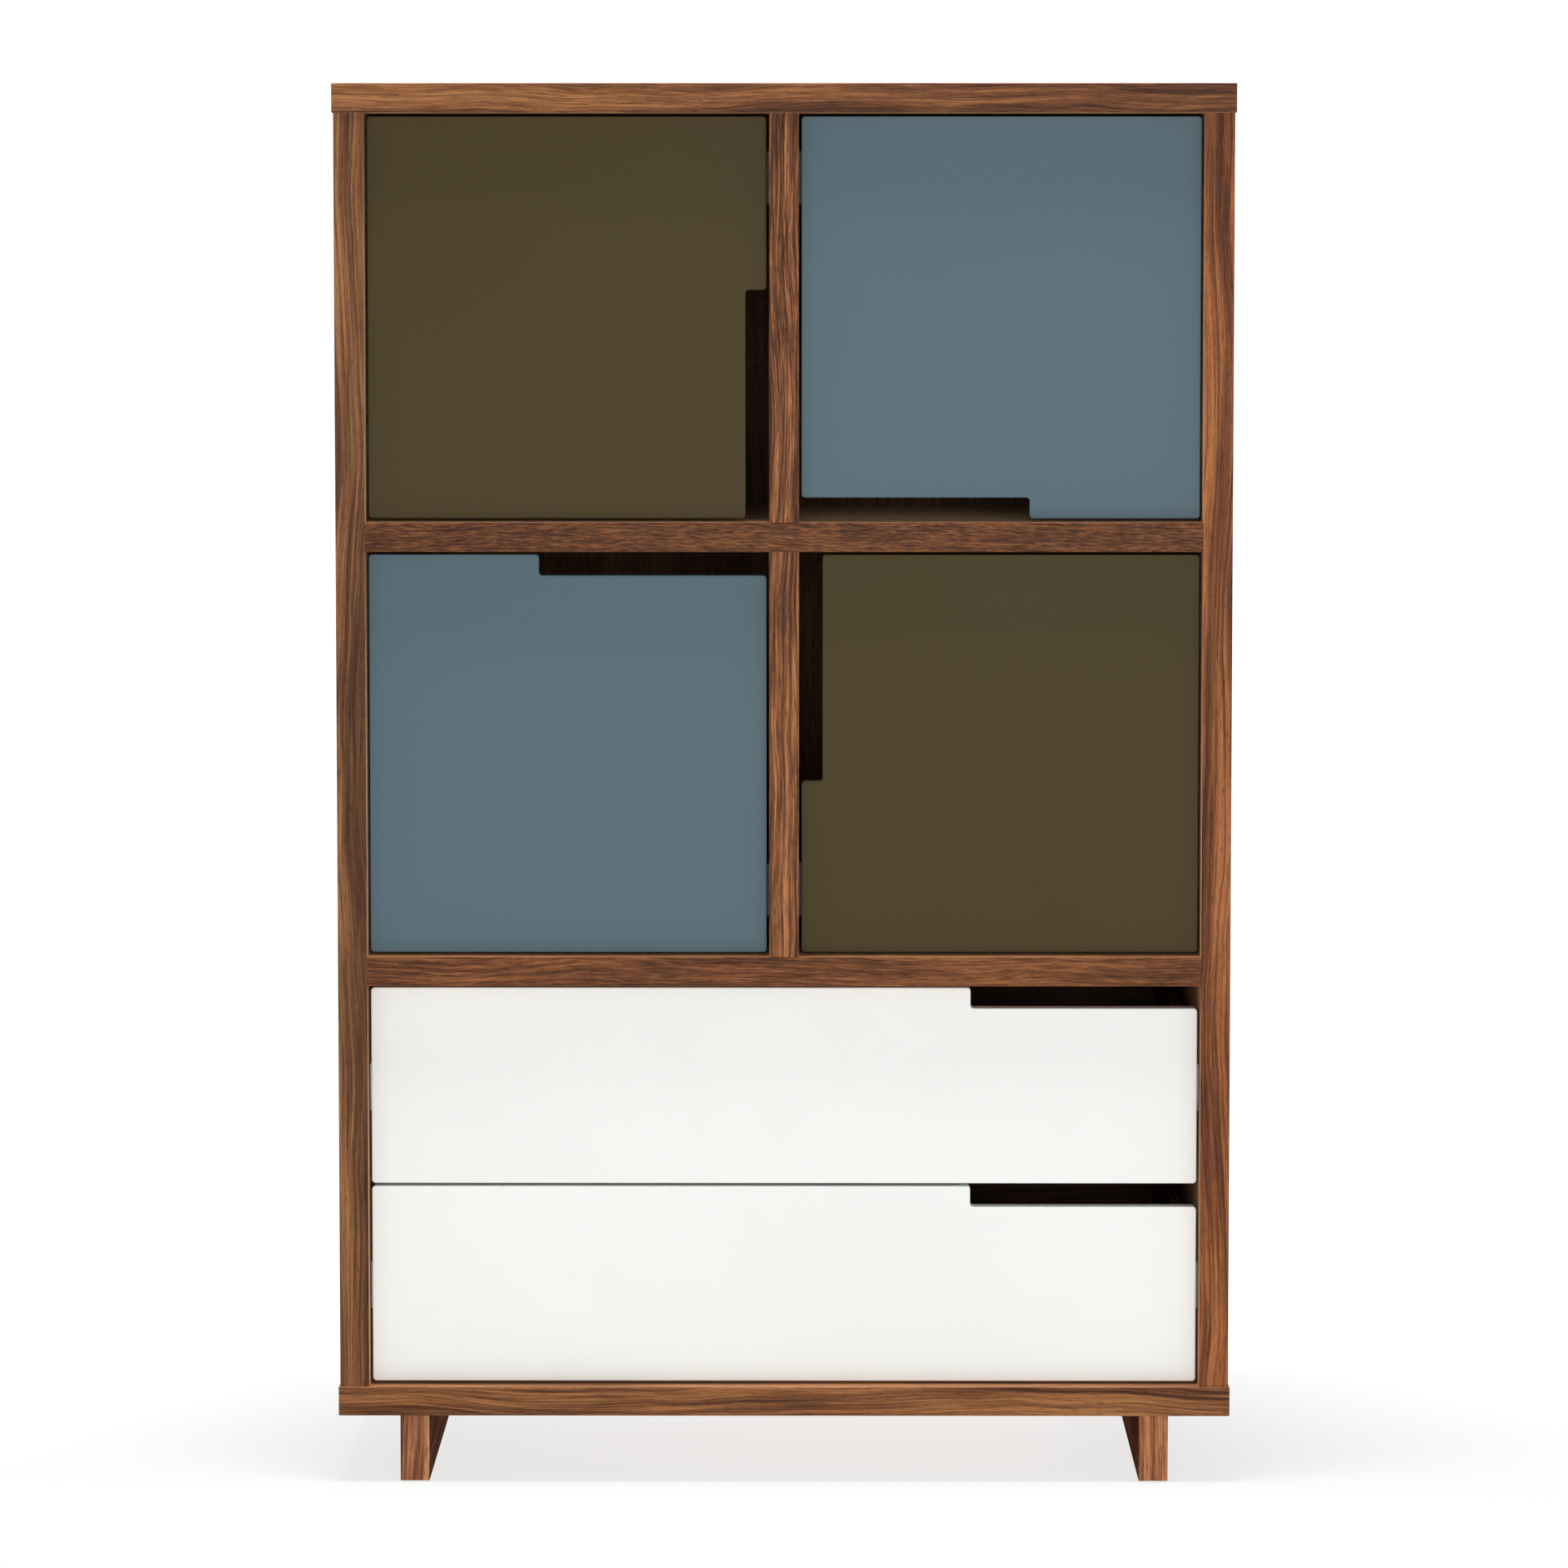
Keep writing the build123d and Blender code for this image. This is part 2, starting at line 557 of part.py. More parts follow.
def door_notch(row, side):
    """The notch of a door: its size in x and z. The notches turn by a quarter from door to door."""
    upright = (row == "upper") == (side == "left")
    return (NOTCH_SHORT, NOTCH_LONG) if upright else (NOTCH_LONG, NOTCH_SHORT)


def door_span(row, side):
    """The door's x and z limits."""
    inner = BOARD / 2 + SIDE_GAP
    outer = INNER_HALF - SIDE_GAP
    x0, x1 = sorted((SIDE_SIGN[side] * inner, SIDE_SIGN[side] * outer))
    floor = ROW_FLOOR[row]
    return x0, x1, floor + END_GAP, floor + CUBE_HEIGHT - END_GAP


def door_catch_z(row, side):
    return next(site[3] for site in catch_sites() if site[:2] == (row, side))


def door(row, side):
    """A door panel, hinged at the outer side, notched at a corner of its free edge."""
    sign = SIDE_SIGN[side]
    x0, x1, z0, z1 = door_span(row, side)
    end = -1 if row == "upper" else 1
    panel = notched_front(x0, x1, z0, z1, -sign, end, *door_notch(row, side))
    strike_screws = strike_screw_places(side, door_catch_z(row, side))
    holes = [countersunk_hole(*p, STRIKE_SCREW_LENGTH) for p in strike_screws]
    for z in hinge_heights(row):
        radius = CUP_RADIUS + FIT_CLEARANCE
        holes.append(rod(sign * CUP_X, FACE_REAR, z, radius, -(CUP_DEPTH + FIT_CLEARANCE), Axis.Y))
        holes += [screw_hole(*p, WING_SCREW_LENGTH) for p in wing_screw_places(sign, z)]
    return cut_all(panel, holes)


def make_doors():
    for row, side in DOORS:
        name = f"{row}_{side}_door"
        sign = SIDE_SIGN[side]
        z = door_catch_z(row, side)
        heights = hinge_heights(row)
        save(name, door(row, side))
        cups = [hinge_cup(sign, h) for h in heights]
        save(f"{name}_hinge_cups", cups + [hinge_pin(sign, h) for h in heights])
        save(f"{name}_strike", strike(side, z))
        flat = screw(STRIKE_SCREW_LENGTH, countersunk=True)
        screws = [place(flat, *p) for p in strike_screw_places(side, z)]
        round_head = screw(WING_SCREW_LENGTH)
        screws += [place(round_head, *p) for h in heights for p in wing_screw_places(sign, h)]
        save(f"{name}_screws", screws)


# ---------------------------------------------------------------- carcass
def cap_board(z0):
    """The top or bottom board, grooved on its inner face for the back panel."""
    board = block(-CAP_HALF, CAP_HALF, FRONT, REAR, z0, z0 + BOARD)
    board = fillet(board.edges(), EDGE_EASE)
    inner = z0 if z0 > HEIGHT / 2 else z0 + BOARD
    into = 1 if z0 > HEIGHT / 2 else -1
    reach = INNER_HALF + GROOVE_DEEP
    rear = BACK_FACE + BACK_THICK + GROOVE_CLEARANCE
    groove = block(-reach, reach, BACK_FACE, rear, inner, inner + into * GROOVE_DEEP)
    holes = dowel_holes(((-CAP_HALF, FRONT, z0), (CAP_HALF, REAR, z0 + BOARD)))
    return cut_all(board, [groove, *holes])


def side_board(sign):
    """A side, grooved for the back panel, with pilot holes for the runner and hinge screws."""
    x_in, x_out = sign * INNER_HALF, sign * OUTER_HALF
    low, high = sorted((x_in, x_out))
    board = block(low, high, CARCASS_FRONT, CARCASS_REAR, BOTTOM_Z, TOP_Z)
    board = fillet(board.edges().filter_by(Axis.Z), EDGE_EASE)
    rear = BACK_FACE + BACK_THICK + GROOVE_CLEARANCE
    groove = block(x_in, x_in + sign * GROOVE_DEEP, BACK_FACE, rear, BOTTOM_Z, TOP_Z)
    holes = dowel_holes(((low, CARCASS_FRONT, BOTTOM_Z), (high, CARCASS_REAR, TOP_Z)))
    screws = [p for p in cabinet_screw_places() if p[0] * sign > 0]
    pilots = [screw_hole(*p, RUNNER_SCREW_LENGTH) for p in screws]
    pilots += [screw_hole(*p, length) for p, length in side_hinge_screws(sign)]
    return cut_all(board, [groove, *holes, *pilots])


def shelf(z0):
    """A fixed shelf between the sides."""
    board = block(-INNER_HALF, INNER_HALF, CARCASS_FRONT, BACK_FACE, z0, z0 + BOARD)
    board = ease(board, along_x_at_front)
    box = ((-INNER_HALF, CARCASS_FRONT, z0), (INNER_HALF, BACK_FACE, z0 + BOARD))
    screws = [p for p in back_screw_places() if z0 < p[2] < z0 + BOARD]
    pilots = [screw_hole(*p, BACK_SCREW_LENGTH) for p in screws]
    return cut_all(board, [*dowel_holes(box), *pilots])


def divider(row):
    """The upright board between the two cubes of a row."""
    z0 = ROW_FLOOR[row]
    z1 = z0 + CUBE_HEIGHT
    board = block(-BOARD / 2, BOARD / 2, CARCASS_FRONT, BACK_FACE, z0, z1)
    board = ease(board, along_z_at_front)
    holes = dowel_holes(((-BOARD / 2, CARCASS_FRONT, z0), (BOARD / 2, BACK_FACE, z1)))
    pilots = [screw_hole(*p, CATCH_SCREW_LENGTH) for p in catch_screw_places() if z0 < p[2] < z1]
    pilots += [
        screw_hole(*p, BACK_SCREW_LENGTH)
        for p in back_screw_places()
        if abs(p[0]) < 1 and z0 < p[2] < z1
    ]
    return cut_all(board, [*holes, *pilots])


def back_screw_places():
    """Screws through the back panel into the shelves and dividers."""
    along = [INNER_HALF * share for share in SHELF_SCREW_SHARES]
    shelves = [(x, z + BOARD / 2) for z in (LOWER_SHELF_Z, UPPER_SHELF_Z) for x in along]
    floors = ROW_FLOOR.values()
    dividers = [(0.0, floor + CUBE_HEIGHT * s) for floor in floors for s in DIVIDER_SCREW_SHARES]
    return [(x, BACK_REAR, z, (0, 1, 0)) for x, z in shelves + dividers]


def back_panel():
    reach_x = INNER_HALF + GROOVE_DEEP - BACK_SHORT
    reach_z = GROOVE_DEEP - BACK_SHORT
    panel = block(-reach_x, reach_x, BACK_FACE, BACK_REAR, BOTTOM_Z - reach_z, TOP_Z + reach_z)
    return cut_all(panel, [countersunk_hole(*p, BACK_SCREW_LENGTH) for p in back_screw_places()])


def make_carcass():
    save("top_panel", cap_board(TOP_Z))
    bottom = cap_board(LEG_HEIGHT)
    for x, y in leg_bolt_sites():
        bottom -= rod(x, y, BOTTOM_Z, BOLT_HEAD_RADIUS + BOLT_HEAD_ROOM, -BOLT_COUNTERBORE)
        bottom -= rod(x, y, BOTTOM_Z, BOLT_RADIUS + BOLT_SHANK_ROOM, -BOARD)
    save("bottom_panel", bottom)
    for side, sign in SIDE_SIGN.items():
        save(f"{side}_side_panel", side_board(sign))
    save("lower_shelf", shelf(LOWER_SHELF_Z))
    save("upper_shelf", shelf(UPPER_SHELF_Z))
    for row in ROW_FLOOR:
        save(f"{row}_divider", divider(row))
    save("back_panel", back_panel())
    fixing = screw(BACK_SCREW_LENGTH, countersunk=True)
    save("back_panel_screws", [place(fixing, *p) for p in back_screw_places()])
    save("carcass_dowels", [dowel(site) for site in dowel_sites()])
    save("hinge_arms", [hinge_arm(*site) for site in hinge_sites()])
    save("hinge_plates", [hinge_plate(*site) for site in hinge_sites()])
    save("hinge_screws", [place(screw(length), *p) for p, length in side_hinge_screws()])
    catches = [(x, z, SIDE_SIGN[side]) for row, side, x, z in catch_sites()]
    save("catch_housings", [catch_housing(*site) for site in catches])
    save("catch_magnets", [piece for site in catches for piece in catch_magnet(*site)])
    fixing = screw(CATCH_SCREW_LENGTH)
    save("catch_screws", [place(fixing, *p) for p in catch_screw_places()])


# ---------------------------------------------------------------- legs
def leg_bolt_sites():
    return [(sign * LEG_MIDDLE, y) for sign in (-1, 1) for y in LEG_BOLT_Y]


def leg_board(sign):
    """A board leg that runs the depth of the cabinet, with threaded inserts in its top edge."""
    low, high = sorted((sign * LEG_OUTER, sign * (LEG_OUTER - BOARD)))
    board = block(low, high, CARCASS_FRONT, CARCASS_REAR, GLIDE_THICK, LEG_HEIGHT)
    lower = board.edges().filter_by(lambda e: e.center().Z < LEG_HEIGHT - TOUCH)
    board = fillet(lower, EDGE_EASE)
    tools = dowel_holes(((low, CARCASS_FRONT, GLIDE_THICK), (high, CARCASS_REAR, LEG_HEIGHT)))
    for x, y in leg_bolt_sites():
        if x * sign > 0:
            deep = INSERT_LENGTH + BOLT_BEYOND_INSERT
            tools.append(rod(x, y, LEG_HEIGHT, INSERT_RADIUS + FIT_CLEARANCE, -INSERT_LENGTH))
            tools.append(rod(x, y, LEG_HEIGHT, BOLT_RADIUS + PILOT_SPARE, -deep))
    return cut_all(board, tools)


def make_legs():
    for side, sign in SIDE_SIGN.items():
        save(f"{side}_leg_board", leg_board(sign))
    head_z = BOTTOM_Z - BOLT_COUNTERBORE + BOLT_HEAD_THICK
    save("leg_bolts", [place(bolt(), x, y, head_z, (0, 0, 1)) for x, y in leg_bolt_sites()])
    inserts = [
        rod(x, y, LEG_HEIGHT, INSERT_RADIUS, -INSERT_LENGTH)
        - rod(x, y, LEG_HEIGHT, BOLT_RADIUS + FIT_CLEARANCE, -INSERT_LENGTH)
        for x, y in leg_bolt_sites()
    ]
    save("leg_inserts", inserts)
    ends = (CARCASS_FRONT + GLIDE_FROM_END, CARCASS_REAR - GLIDE_FROM_END)
    places = [(sign * LEG_MIDDLE, y) for sign in (-1, 1) for y in ends]
    glides = [rod(x, y, 0, GLIDE_RADIUS, GLIDE_THICK) for x, y in places]
    save("floor_glides", [fillet(g.edges().sort_by(Axis.Z)[0], GLIDE_EASE) for g in glides])


# ---------------------------------------------------------------- drawer runners
def channel(x_web, out, high, z):
    """A C-shaped steel strip: its web at x_web, its flanges reaching out (signed) from there."""
    half = high / 2
    inner_half = half - RUNNER_SHEET
    x_inside = x_web + math.copysign(RUNNER_SHEET, out)
    y0, y1 = RUNNER_FRONT, RUNNER_FRONT + RUNNER_LENGTH
    whole = block(x_web, x_web + out, y0, y1, z - half, z + half)
    return whole - block(x_inside, x_web + out, y0, y1, z - inner_half, z + inner_half)


def runner_z(row):
    return DRAWER_FOOT[row] + RUNNER_CENTRE


def cabinet_screw_places():
    """Screws through the cabinet members into the sides, heads inside the channel."""
    return [
        (s * (INNER_HALF - RUNNER_SHEET - SCREW_HEAD_THICK), y, runner_z(row), (-s, 0, 0))
        for row in DRAWER_FOOT
        for s in (-1, 1)
        for y in RUNNER_SCREW_Y
    ]


def drawer_runner_screw_places(row):
    """Screws through the drawer members into the drawer sides."""
    return [
        (s * (BOX_HALF + RUNNER_SHEET + SCREW_HEAD_THICK), y, runner_z(row), (s, 0, 0))
        for s in (-1, 1)
        for y in RUNNER_SCREW_Y
    ]


def cabinet_member(row, sign):
    z = runner_z(row)
    reach = -sign * CABINET_MEMBER_REACH
    body = channel(sign * INNER_HALF, reach, CABINET_MEMBER_HIGH, z)
    places = [p for p in cabinet_screw_places() if p[0] * sign > 0 and p[2] == z]
    return cut_all(body, [screw_hole(*p, RUNNER_SCREW_LENGTH) for p in places])


def mid_member(row, sign):
    reach = MID_WEB - (BOX_HALF + RUNNER_SHEET + MEMBER_SPACE)
    return channel(sign * MID_WEB, -sign * reach, MID_MEMBER_HIGH, runner_z(row))


def drawer_member(row, sign):
    reach = MID_WEB - RUNNER_SHEET - MEMBER_SPACE - BOX_HALF
    body = channel(sign * BOX_HALF, sign * reach, DRAWER_MEMBER_HIGH, runner_z(row))
    places = [p for p in drawer_runner_screw_places(row) if p[0] * sign > 0]
    return cut_all(body, [screw_hole(*p, DRAWER_RUNNER_SCREW_LENGTH) for p in places])


def ball_cages(row, sign):
    """Four strips that carry the balls, above and below the middle member and inside it."""
    cages = []
    outer_y = RUNNER_FRONT + RUNNER_LENGTH - CAGE_FROM_END - CAGE_LONG
    inner_y = RUNNER_FRONT + CAGE_FROM_END
    far = sign * (MID_WEB - RUNNER_SHEET - MEMBER_SPACE)
    near = far - sign * CAGE_WIDE
    for member_high, y in ((MID_MEMBER_HIGH, outer_y), (DRAWER_MEMBER_HIGH, inner_y)):
        low, high = member_high / 2 + CAGE_AIR, member_high / 2 + RACE_GAP - CAGE_AIR
        for way in (-1, 1):
            z = runner_z(row)
            cages.append(block(near, far, y, y + CAGE_LONG, z + way * low, z + way * high))
    return cages


def make_runners():
    members = [cabinet_member(row, s) for row in DRAWER_FOOT for s in (-1, 1)]
    save("runner_cabinet_members", members)
    fixing = screw(RUNNER_SCREW_LENGTH)
    save("runner_cabinet_screws", [place(fixing, *p) for p in cabinet_screw_places()])
    for row in DRAWER_FOOT:
        save(f"{row}_runner_mid_members", [mid_member(row, s) for s in (-1, 1)])
        save(f"{row}_runner_ball_cages", [cage for s in (-1, 1) for cage in ball_cages(row, s)])
        save(f"{row}_drawer_runner_members", [drawer_member(row, s) for s in (-1, 1)])


# ---------------------------------------------------------------- drawers
def box_z(row):
    """Lowest and highest z of a drawer box."""
    low = DRAWER_FOOT[row] + BOX_ABOVE_FRONT_FOOT
    return low, low + BOX_HIGH


def front_screw_places(row):
    """Screws through the inner front into the drawer front."""
    low, high = box_z(row)
    y = FACE_REAR + DRAWER_WALL + SCREW_HEAD_THICK
    columns = [BOX_INNER_HALF * share for share in FRONT_SCREW_SHARES]
    heights = (low + FRONT_SCREW_ENDS[0], high - FRONT_SCREW_ENDS[1])
    return [(x, y, z, (0, 1, 0)) for x in columns for z in heights]


def corner_screw_places(row):
    """Countersunk screws through the drawer sides into the ends of the inner front and back."""
    low, high = box_z(row)
    half = DRAWER_WALL / 2
    ends = (FACE_REAR + half, FACE_REAR + BOX_LENGTH - half)
    heights = (low + CORNER_SCREW_ENDS[0], high - CORNER_SCREW_ENDS[1])
    return [(s * BOX_HALF, y, z, (s, 0, 0)) for s in (-1, 1) for y in ends for z in heights]


def bottom_groove(row):
    """The space cut out of the four walls for the drawer bottom."""
    low, _ = box_z(row)
    reach = BOX_INNER_HALF + BOTTOM_IN_GROOVE + BOTTOM_SLACK
    y0 = FACE_REAR + DRAWER_WALL - BOTTOM_IN_GROOVE - BOTTOM_SLACK
    y1 = FACE_REAR + BOX_LENGTH - DRAWER_WALL + BOTTOM_IN_GROOVE + BOTTOM_SLACK
    z0 = low + BOTTOM_ABOVE_EDGE
    return block(-reach, reach, y0, y1, z0, z0 + DRAWER_BOTTOM)


def drawer_bottom(row):
    low, _ = box_z(row)
    reach = BOX_INNER_HALF + BOTTOM_IN_GROOVE
    y0 = FACE_REAR + DRAWER_WALL - BOTTOM_IN_GROOVE
    y1 = FACE_REAR + BOX_LENGTH - DRAWER_WALL + BOTTOM_IN_GROOVE
    z0 = low + BOTTOM_ABOVE_EDGE
    return block(-reach, reach, y0, y1, z0, z0 + DRAWER_BOTTOM)


def drawer_side(row, sign):
    low, high = box_z(row)
    x0, x1 = sorted((sign * BOX_INNER_HALF, sign * BOX_HALF))
    wall = block(x0, x1, FACE_REAR, FACE_REAR + BOX_LENGTH, low, high)
    upper = wall.edges().filter_by(Axis.Y).filter_by(lambda e: e.center().Z > high - TOUCH)
    wall = fillet(upper, WALL_EASE)
    corners = [p for p in corner_screw_places(row) if p[0] * sign > 0]
    runners = [p for p in drawer_runner_screw_places(row) if p[0] * sign > 0]
    holes = [countersunk_hole(*p, CORNER_SCREW_LENGTH) for p in corners]
    holes += [screw_hole(*p, DRAWER_RUNNER_SCREW_LENGTH) for p in runners]
    return cut_all(wall, [bottom_groove(row), *holes])


def drawer_cross_wall(row, y0):
    """The inner front or the back of the drawer box, between its sides."""
    low, high = box_z(row)
    wall = block(-BOX_INNER_HALF, BOX_INNER_HALF, y0, y0 + DRAWER_WALL, low, high)
    holes = [
        screw_hole(*p, CORNER_SCREW_LENGTH)
        for p in corner_screw_places(row)
        if y0 < p[1] < y0 + DRAWER_WALL
    ]
    if y0 == FACE_REAR:
        holes += [screw_hole(*p, FRONT_SCREW_LENGTH) for p in front_screw_places(row)]
    return cut_all(wall, [bottom_groove(row), *holes])


def drawer_front(row):
    """The full-width front, notched at its upper right corner."""
    half = INNER_HALF - SIDE_GAP
    z0 = DRAWER_FOOT[row]
    panel = notched_front(-half, half, z0, z0 + DRAWER_FRONT_HIGH, 1, 1, NOTCH_LONG, NOTCH_SHORT)
    return cut_all(panel, [screw_hole(*p, FRONT_SCREW_LENGTH) for p in front_screw_places(row)])


def make_drawers():
    for row in DRAWER_FOOT:
        name = f"{row}_drawer"
        save(f"{name}_front", drawer_front(row))
        save(f"{name}_inner_front", drawer_cross_wall(row, FACE_REAR))
        save(f"{name}_back", drawer_cross_wall(row, FACE_REAR + BOX_LENGTH - DRAWER_WALL))
        for side, sign in SIDE_SIGN.items():
            save(f"{name}_{side}_side", drawer_side(row, sign))
        save(f"{name}_bottom", drawer_bottom(row))
        screws = [place(screw(FRONT_SCREW_LENGTH), *p) for p in front_screw_places(row)]
        corner = screw(CORNER_SCREW_LENGTH, countersunk=True)
        screws += [place(corner, *p) for p in corner_screw_places(row)]
        runner = screw(DRAWER_RUNNER_SCREW_LENGTH)
        screws += [place(runner, *p) for p in drawer_runner_screw_places(row)]
        save(f"{name}_screws", screws)


def main():
    os.makedirs("parts", exist_ok=True)
    make_carcass()
    make_legs()
    make_runners()
    make_doors()
    make_drawers()


if __name__ == "__main__":
    main()
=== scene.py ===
import json
import math
import random

import bmesh
import bpy
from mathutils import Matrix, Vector


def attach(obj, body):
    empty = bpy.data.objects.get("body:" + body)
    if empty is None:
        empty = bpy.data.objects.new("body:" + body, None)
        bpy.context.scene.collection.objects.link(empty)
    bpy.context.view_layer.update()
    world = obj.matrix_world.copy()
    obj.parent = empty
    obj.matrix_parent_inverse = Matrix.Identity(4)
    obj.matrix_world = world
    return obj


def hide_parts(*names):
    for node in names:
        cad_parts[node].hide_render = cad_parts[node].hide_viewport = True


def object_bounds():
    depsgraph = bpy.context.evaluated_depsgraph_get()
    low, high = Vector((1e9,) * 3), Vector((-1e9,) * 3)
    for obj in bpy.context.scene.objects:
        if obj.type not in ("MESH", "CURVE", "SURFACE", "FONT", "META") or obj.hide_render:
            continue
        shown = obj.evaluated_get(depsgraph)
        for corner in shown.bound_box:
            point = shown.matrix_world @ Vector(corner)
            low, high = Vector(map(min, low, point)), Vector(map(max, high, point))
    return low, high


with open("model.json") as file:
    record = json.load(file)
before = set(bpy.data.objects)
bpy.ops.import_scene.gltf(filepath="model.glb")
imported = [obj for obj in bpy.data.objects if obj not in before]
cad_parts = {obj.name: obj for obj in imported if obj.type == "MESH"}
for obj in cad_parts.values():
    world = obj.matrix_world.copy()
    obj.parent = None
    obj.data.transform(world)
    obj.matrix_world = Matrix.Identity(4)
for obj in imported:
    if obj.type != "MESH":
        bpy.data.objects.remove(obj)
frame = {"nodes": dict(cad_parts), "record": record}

# Cube storage unit: the looks of the cabinet, doors and drawers. Metres, +X right, +Y back, +Z up.

X, Y, Z = 0, 1, 2
CAD_LOW, CAD_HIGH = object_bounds()

# ---------------------------------------------------------------- camera
CAMERA_DISTANCE = 6.0  # from the front of the cabinet
CAMERA_HEIGHT = 1.218
CAMERA_RIGHT = 0.025  # of the middle of the cabinet
AIM_HEIGHT = 0.719  # of the point in the plane of the front that the camera looks at
LENS_MM = 145.3
SHIFT_Y = -0.03
CAMERA_REACH = 100

# ---------------------------------------------------------------- colours, as display values 0 to 255
OLIVE = (68, 56, 24)
BLUE = (85, 106, 116)
WHITE = (243, 244, 241)
WALNUT_LIGHT = (172, 115, 70)
WALNUT_MID = (122, 75, 42)
WALNUT_DARK = (72, 38, 18)
WALNUT_STREAK = (46, 22, 9)
STAIN_LIGHT = (124, 83, 50)
STAIN_MID = (86, 54, 31)
STAIN_DARK = (50, 31, 20)
SHEEN_TINT = (255, 216, 172)
BEECH = (205, 160, 118)
BEECH_FLECK = (160, 118, 78)
ZINC = (196, 197, 196)
RUNNER_STEEL = (186, 188, 190)
BRASS = (196, 158, 92)
GREY_PLASTIC = (128, 130, 132)
BLACK_PLASTIC = (34, 34, 35)
NICKEL = (176, 175, 170)
DUST_GREY = (128, 128, 126)
FLOOR_TONE = (121, 121, 120)
FLOOR_LIGHT = (254, 255, 255)


def linear(colour):
    """A display colour as the linear RGBA that shaders take."""
    channels = []
    for value in colour:
        share = value / 255
        if share <= 0.04045:
            channels.append(share / 12.92)
        else:
            channels.append(((share + 0.055) / 1.055) ** 2.4)
    return (*channels, 1.0)


def shaded(colour, share):
    """A linear colour made darker or lighter."""
    return tuple(min(1.0, channel * share) for channel in colour[:3]) + (1.0,)


# ---------------------------------------------------------------- shader building
class Graph:
    """A material and short names for the nodes that it is made of."""

    def __init__(self, name):
        self.material = bpy.data.materials.new(name)
        self.material.use_nodes = True
        self.tree = self.material.node_tree
        self.shader = self.tree.nodes["Principled BSDF"]
        self.object_space = self.node("ShaderNodeTexCoord")

    def node(self, kind, **settings):
        made = self.tree.nodes.new(kind)
        for key, value in settings.items():
            setattr(made, key, value)
        return made

    def feed(self, socket, value):
        """Links a socket to an output, or sets it to a plain value."""
        if isinstance(value, bpy.types.NodeSocket):
            self.tree.links.new(value, socket)
        else:
            socket.default_value = value

    def math(self, operation, *values, clamp=False):
        made = self.node("ShaderNodeMath", operation=operation, use_clamp=clamp)
        for socket, value in zip(made.inputs, values):
            self.feed(socket, value)
        return made.outputs[0]

    def blend(self, share, low, high):
        """Numbers: low where share is 0, high where it is 1."""
        made = self.node("ShaderNodeMix", data_type="FLOAT")
        for name, value in (("Factor", share), ("A", low), ("B", high)):
            self.feed(made.inputs[name], value)
        return made.outputs["Result"]

    def mix(self, share, low, high, how="MIX"):
        """Colours, mixed or multiplied."""
        made = self.node("ShaderNodeMix", data_type="RGBA", blend_type=how)
        for socket, value in ((made.inputs[0], share), (made.inputs[6], low), (made.inputs[7], high)):
            self.feed(socket, value)
        return made.outputs[2]

    def ramp(self, value, stops):
        """A colour ramp over (position, linear colour) stops."""
        made = self.node("ShaderNodeValToRGB")
        elements = made.color_ramp.elements
        while len(elements) < len(stops):
            elements.new(1.0)
        for element, (position, colour) in zip(elements, stops):
            element.position = position
            element.color = colour
        self.feed(made.inputs[0], value)
        return made.outputs[0]

    def level(self, value, low, high, to_low=0.0, to_high=1.0):
        """Maps low..high to to_low..to_high, smoothly and held at the ends."""
        made = self.node("ShaderNodeMapRange", interpolation_type="SMOOTHSTEP")
        for socket, number in zip(made.inputs, (value, low, high, to_low, to_high)):
            self.feed(socket, number)
        return made.outputs[0]

    def point(self, x, y, z):
        made = self.node("ShaderNodeCombineXYZ")
        for socket, value in zip(made.inputs, (x, y, z)):
            self.feed(socket, value)
        return made.outputs[0]

    def stretched(self, length, side, depth, scales):
        """A place in a pattern that has one scale along the grain and another across it."""
        scaled = [self.math("MULTIPLY", place, scale) for place, scale in zip((length, side), scales)]
        return self.point(*scaled, depth)

    def parts(self, vector):
        made = self.node("ShaderNodeSeparateXYZ")
        self.feed(made.inputs[0], vector)
        return list(made.outputs)

    def noise(self, vector, scale=1.0, detail=2.0, rough=0.5, twist=0.0):
        made = self.node("ShaderNodeTexNoise")
        names = ("Vector", "Scale", "Detail", "Roughness", "Distortion")
        for name, value in zip(names, (vector, scale, detail, rough, twist)):
            self.feed(made.inputs[name], value)
        return made.outputs[0]

    def chance(self, number):
        """A random value that belongs to a whole number."""
        made = self.node("ShaderNodeTexWhiteNoise", noise_dimensions="1D")
        self.feed(made.inputs["W"], number)
        return made.outputs[0]

    def bump(self, height, depth):
        made = self.node("ShaderNodeBump")
        made.inputs["Distance"].default_value = depth
        self.feed(made.inputs["Height"], height)
        self.feed(self.shader.inputs["Normal"], made.outputs[0])

    def surface(self, colour, roughness, metallic=0.0, specular=0.5):
        self.feed(self.shader.inputs["Base Color"], colour)
        self.feed(self.shader.inputs["Roughness"], roughness)
        self.shader.inputs["Metallic"].default_value = metallic
        self.shader.inputs["Specular IOR Level"].default_value = specular


# ---------------------------------------------------------------- walnut
# Scales are per metre, first along the grain and then across it.
END_NORMAL = 0.7  # a face is an end or an edge where its normal is at least this much along that axis
LEAF_WIDTH = 0.2  # width of one leaf of veneer; neighbours are mirrored
FIRST_SEAM = 0.37  # place of the first seam, as a share of a leaf

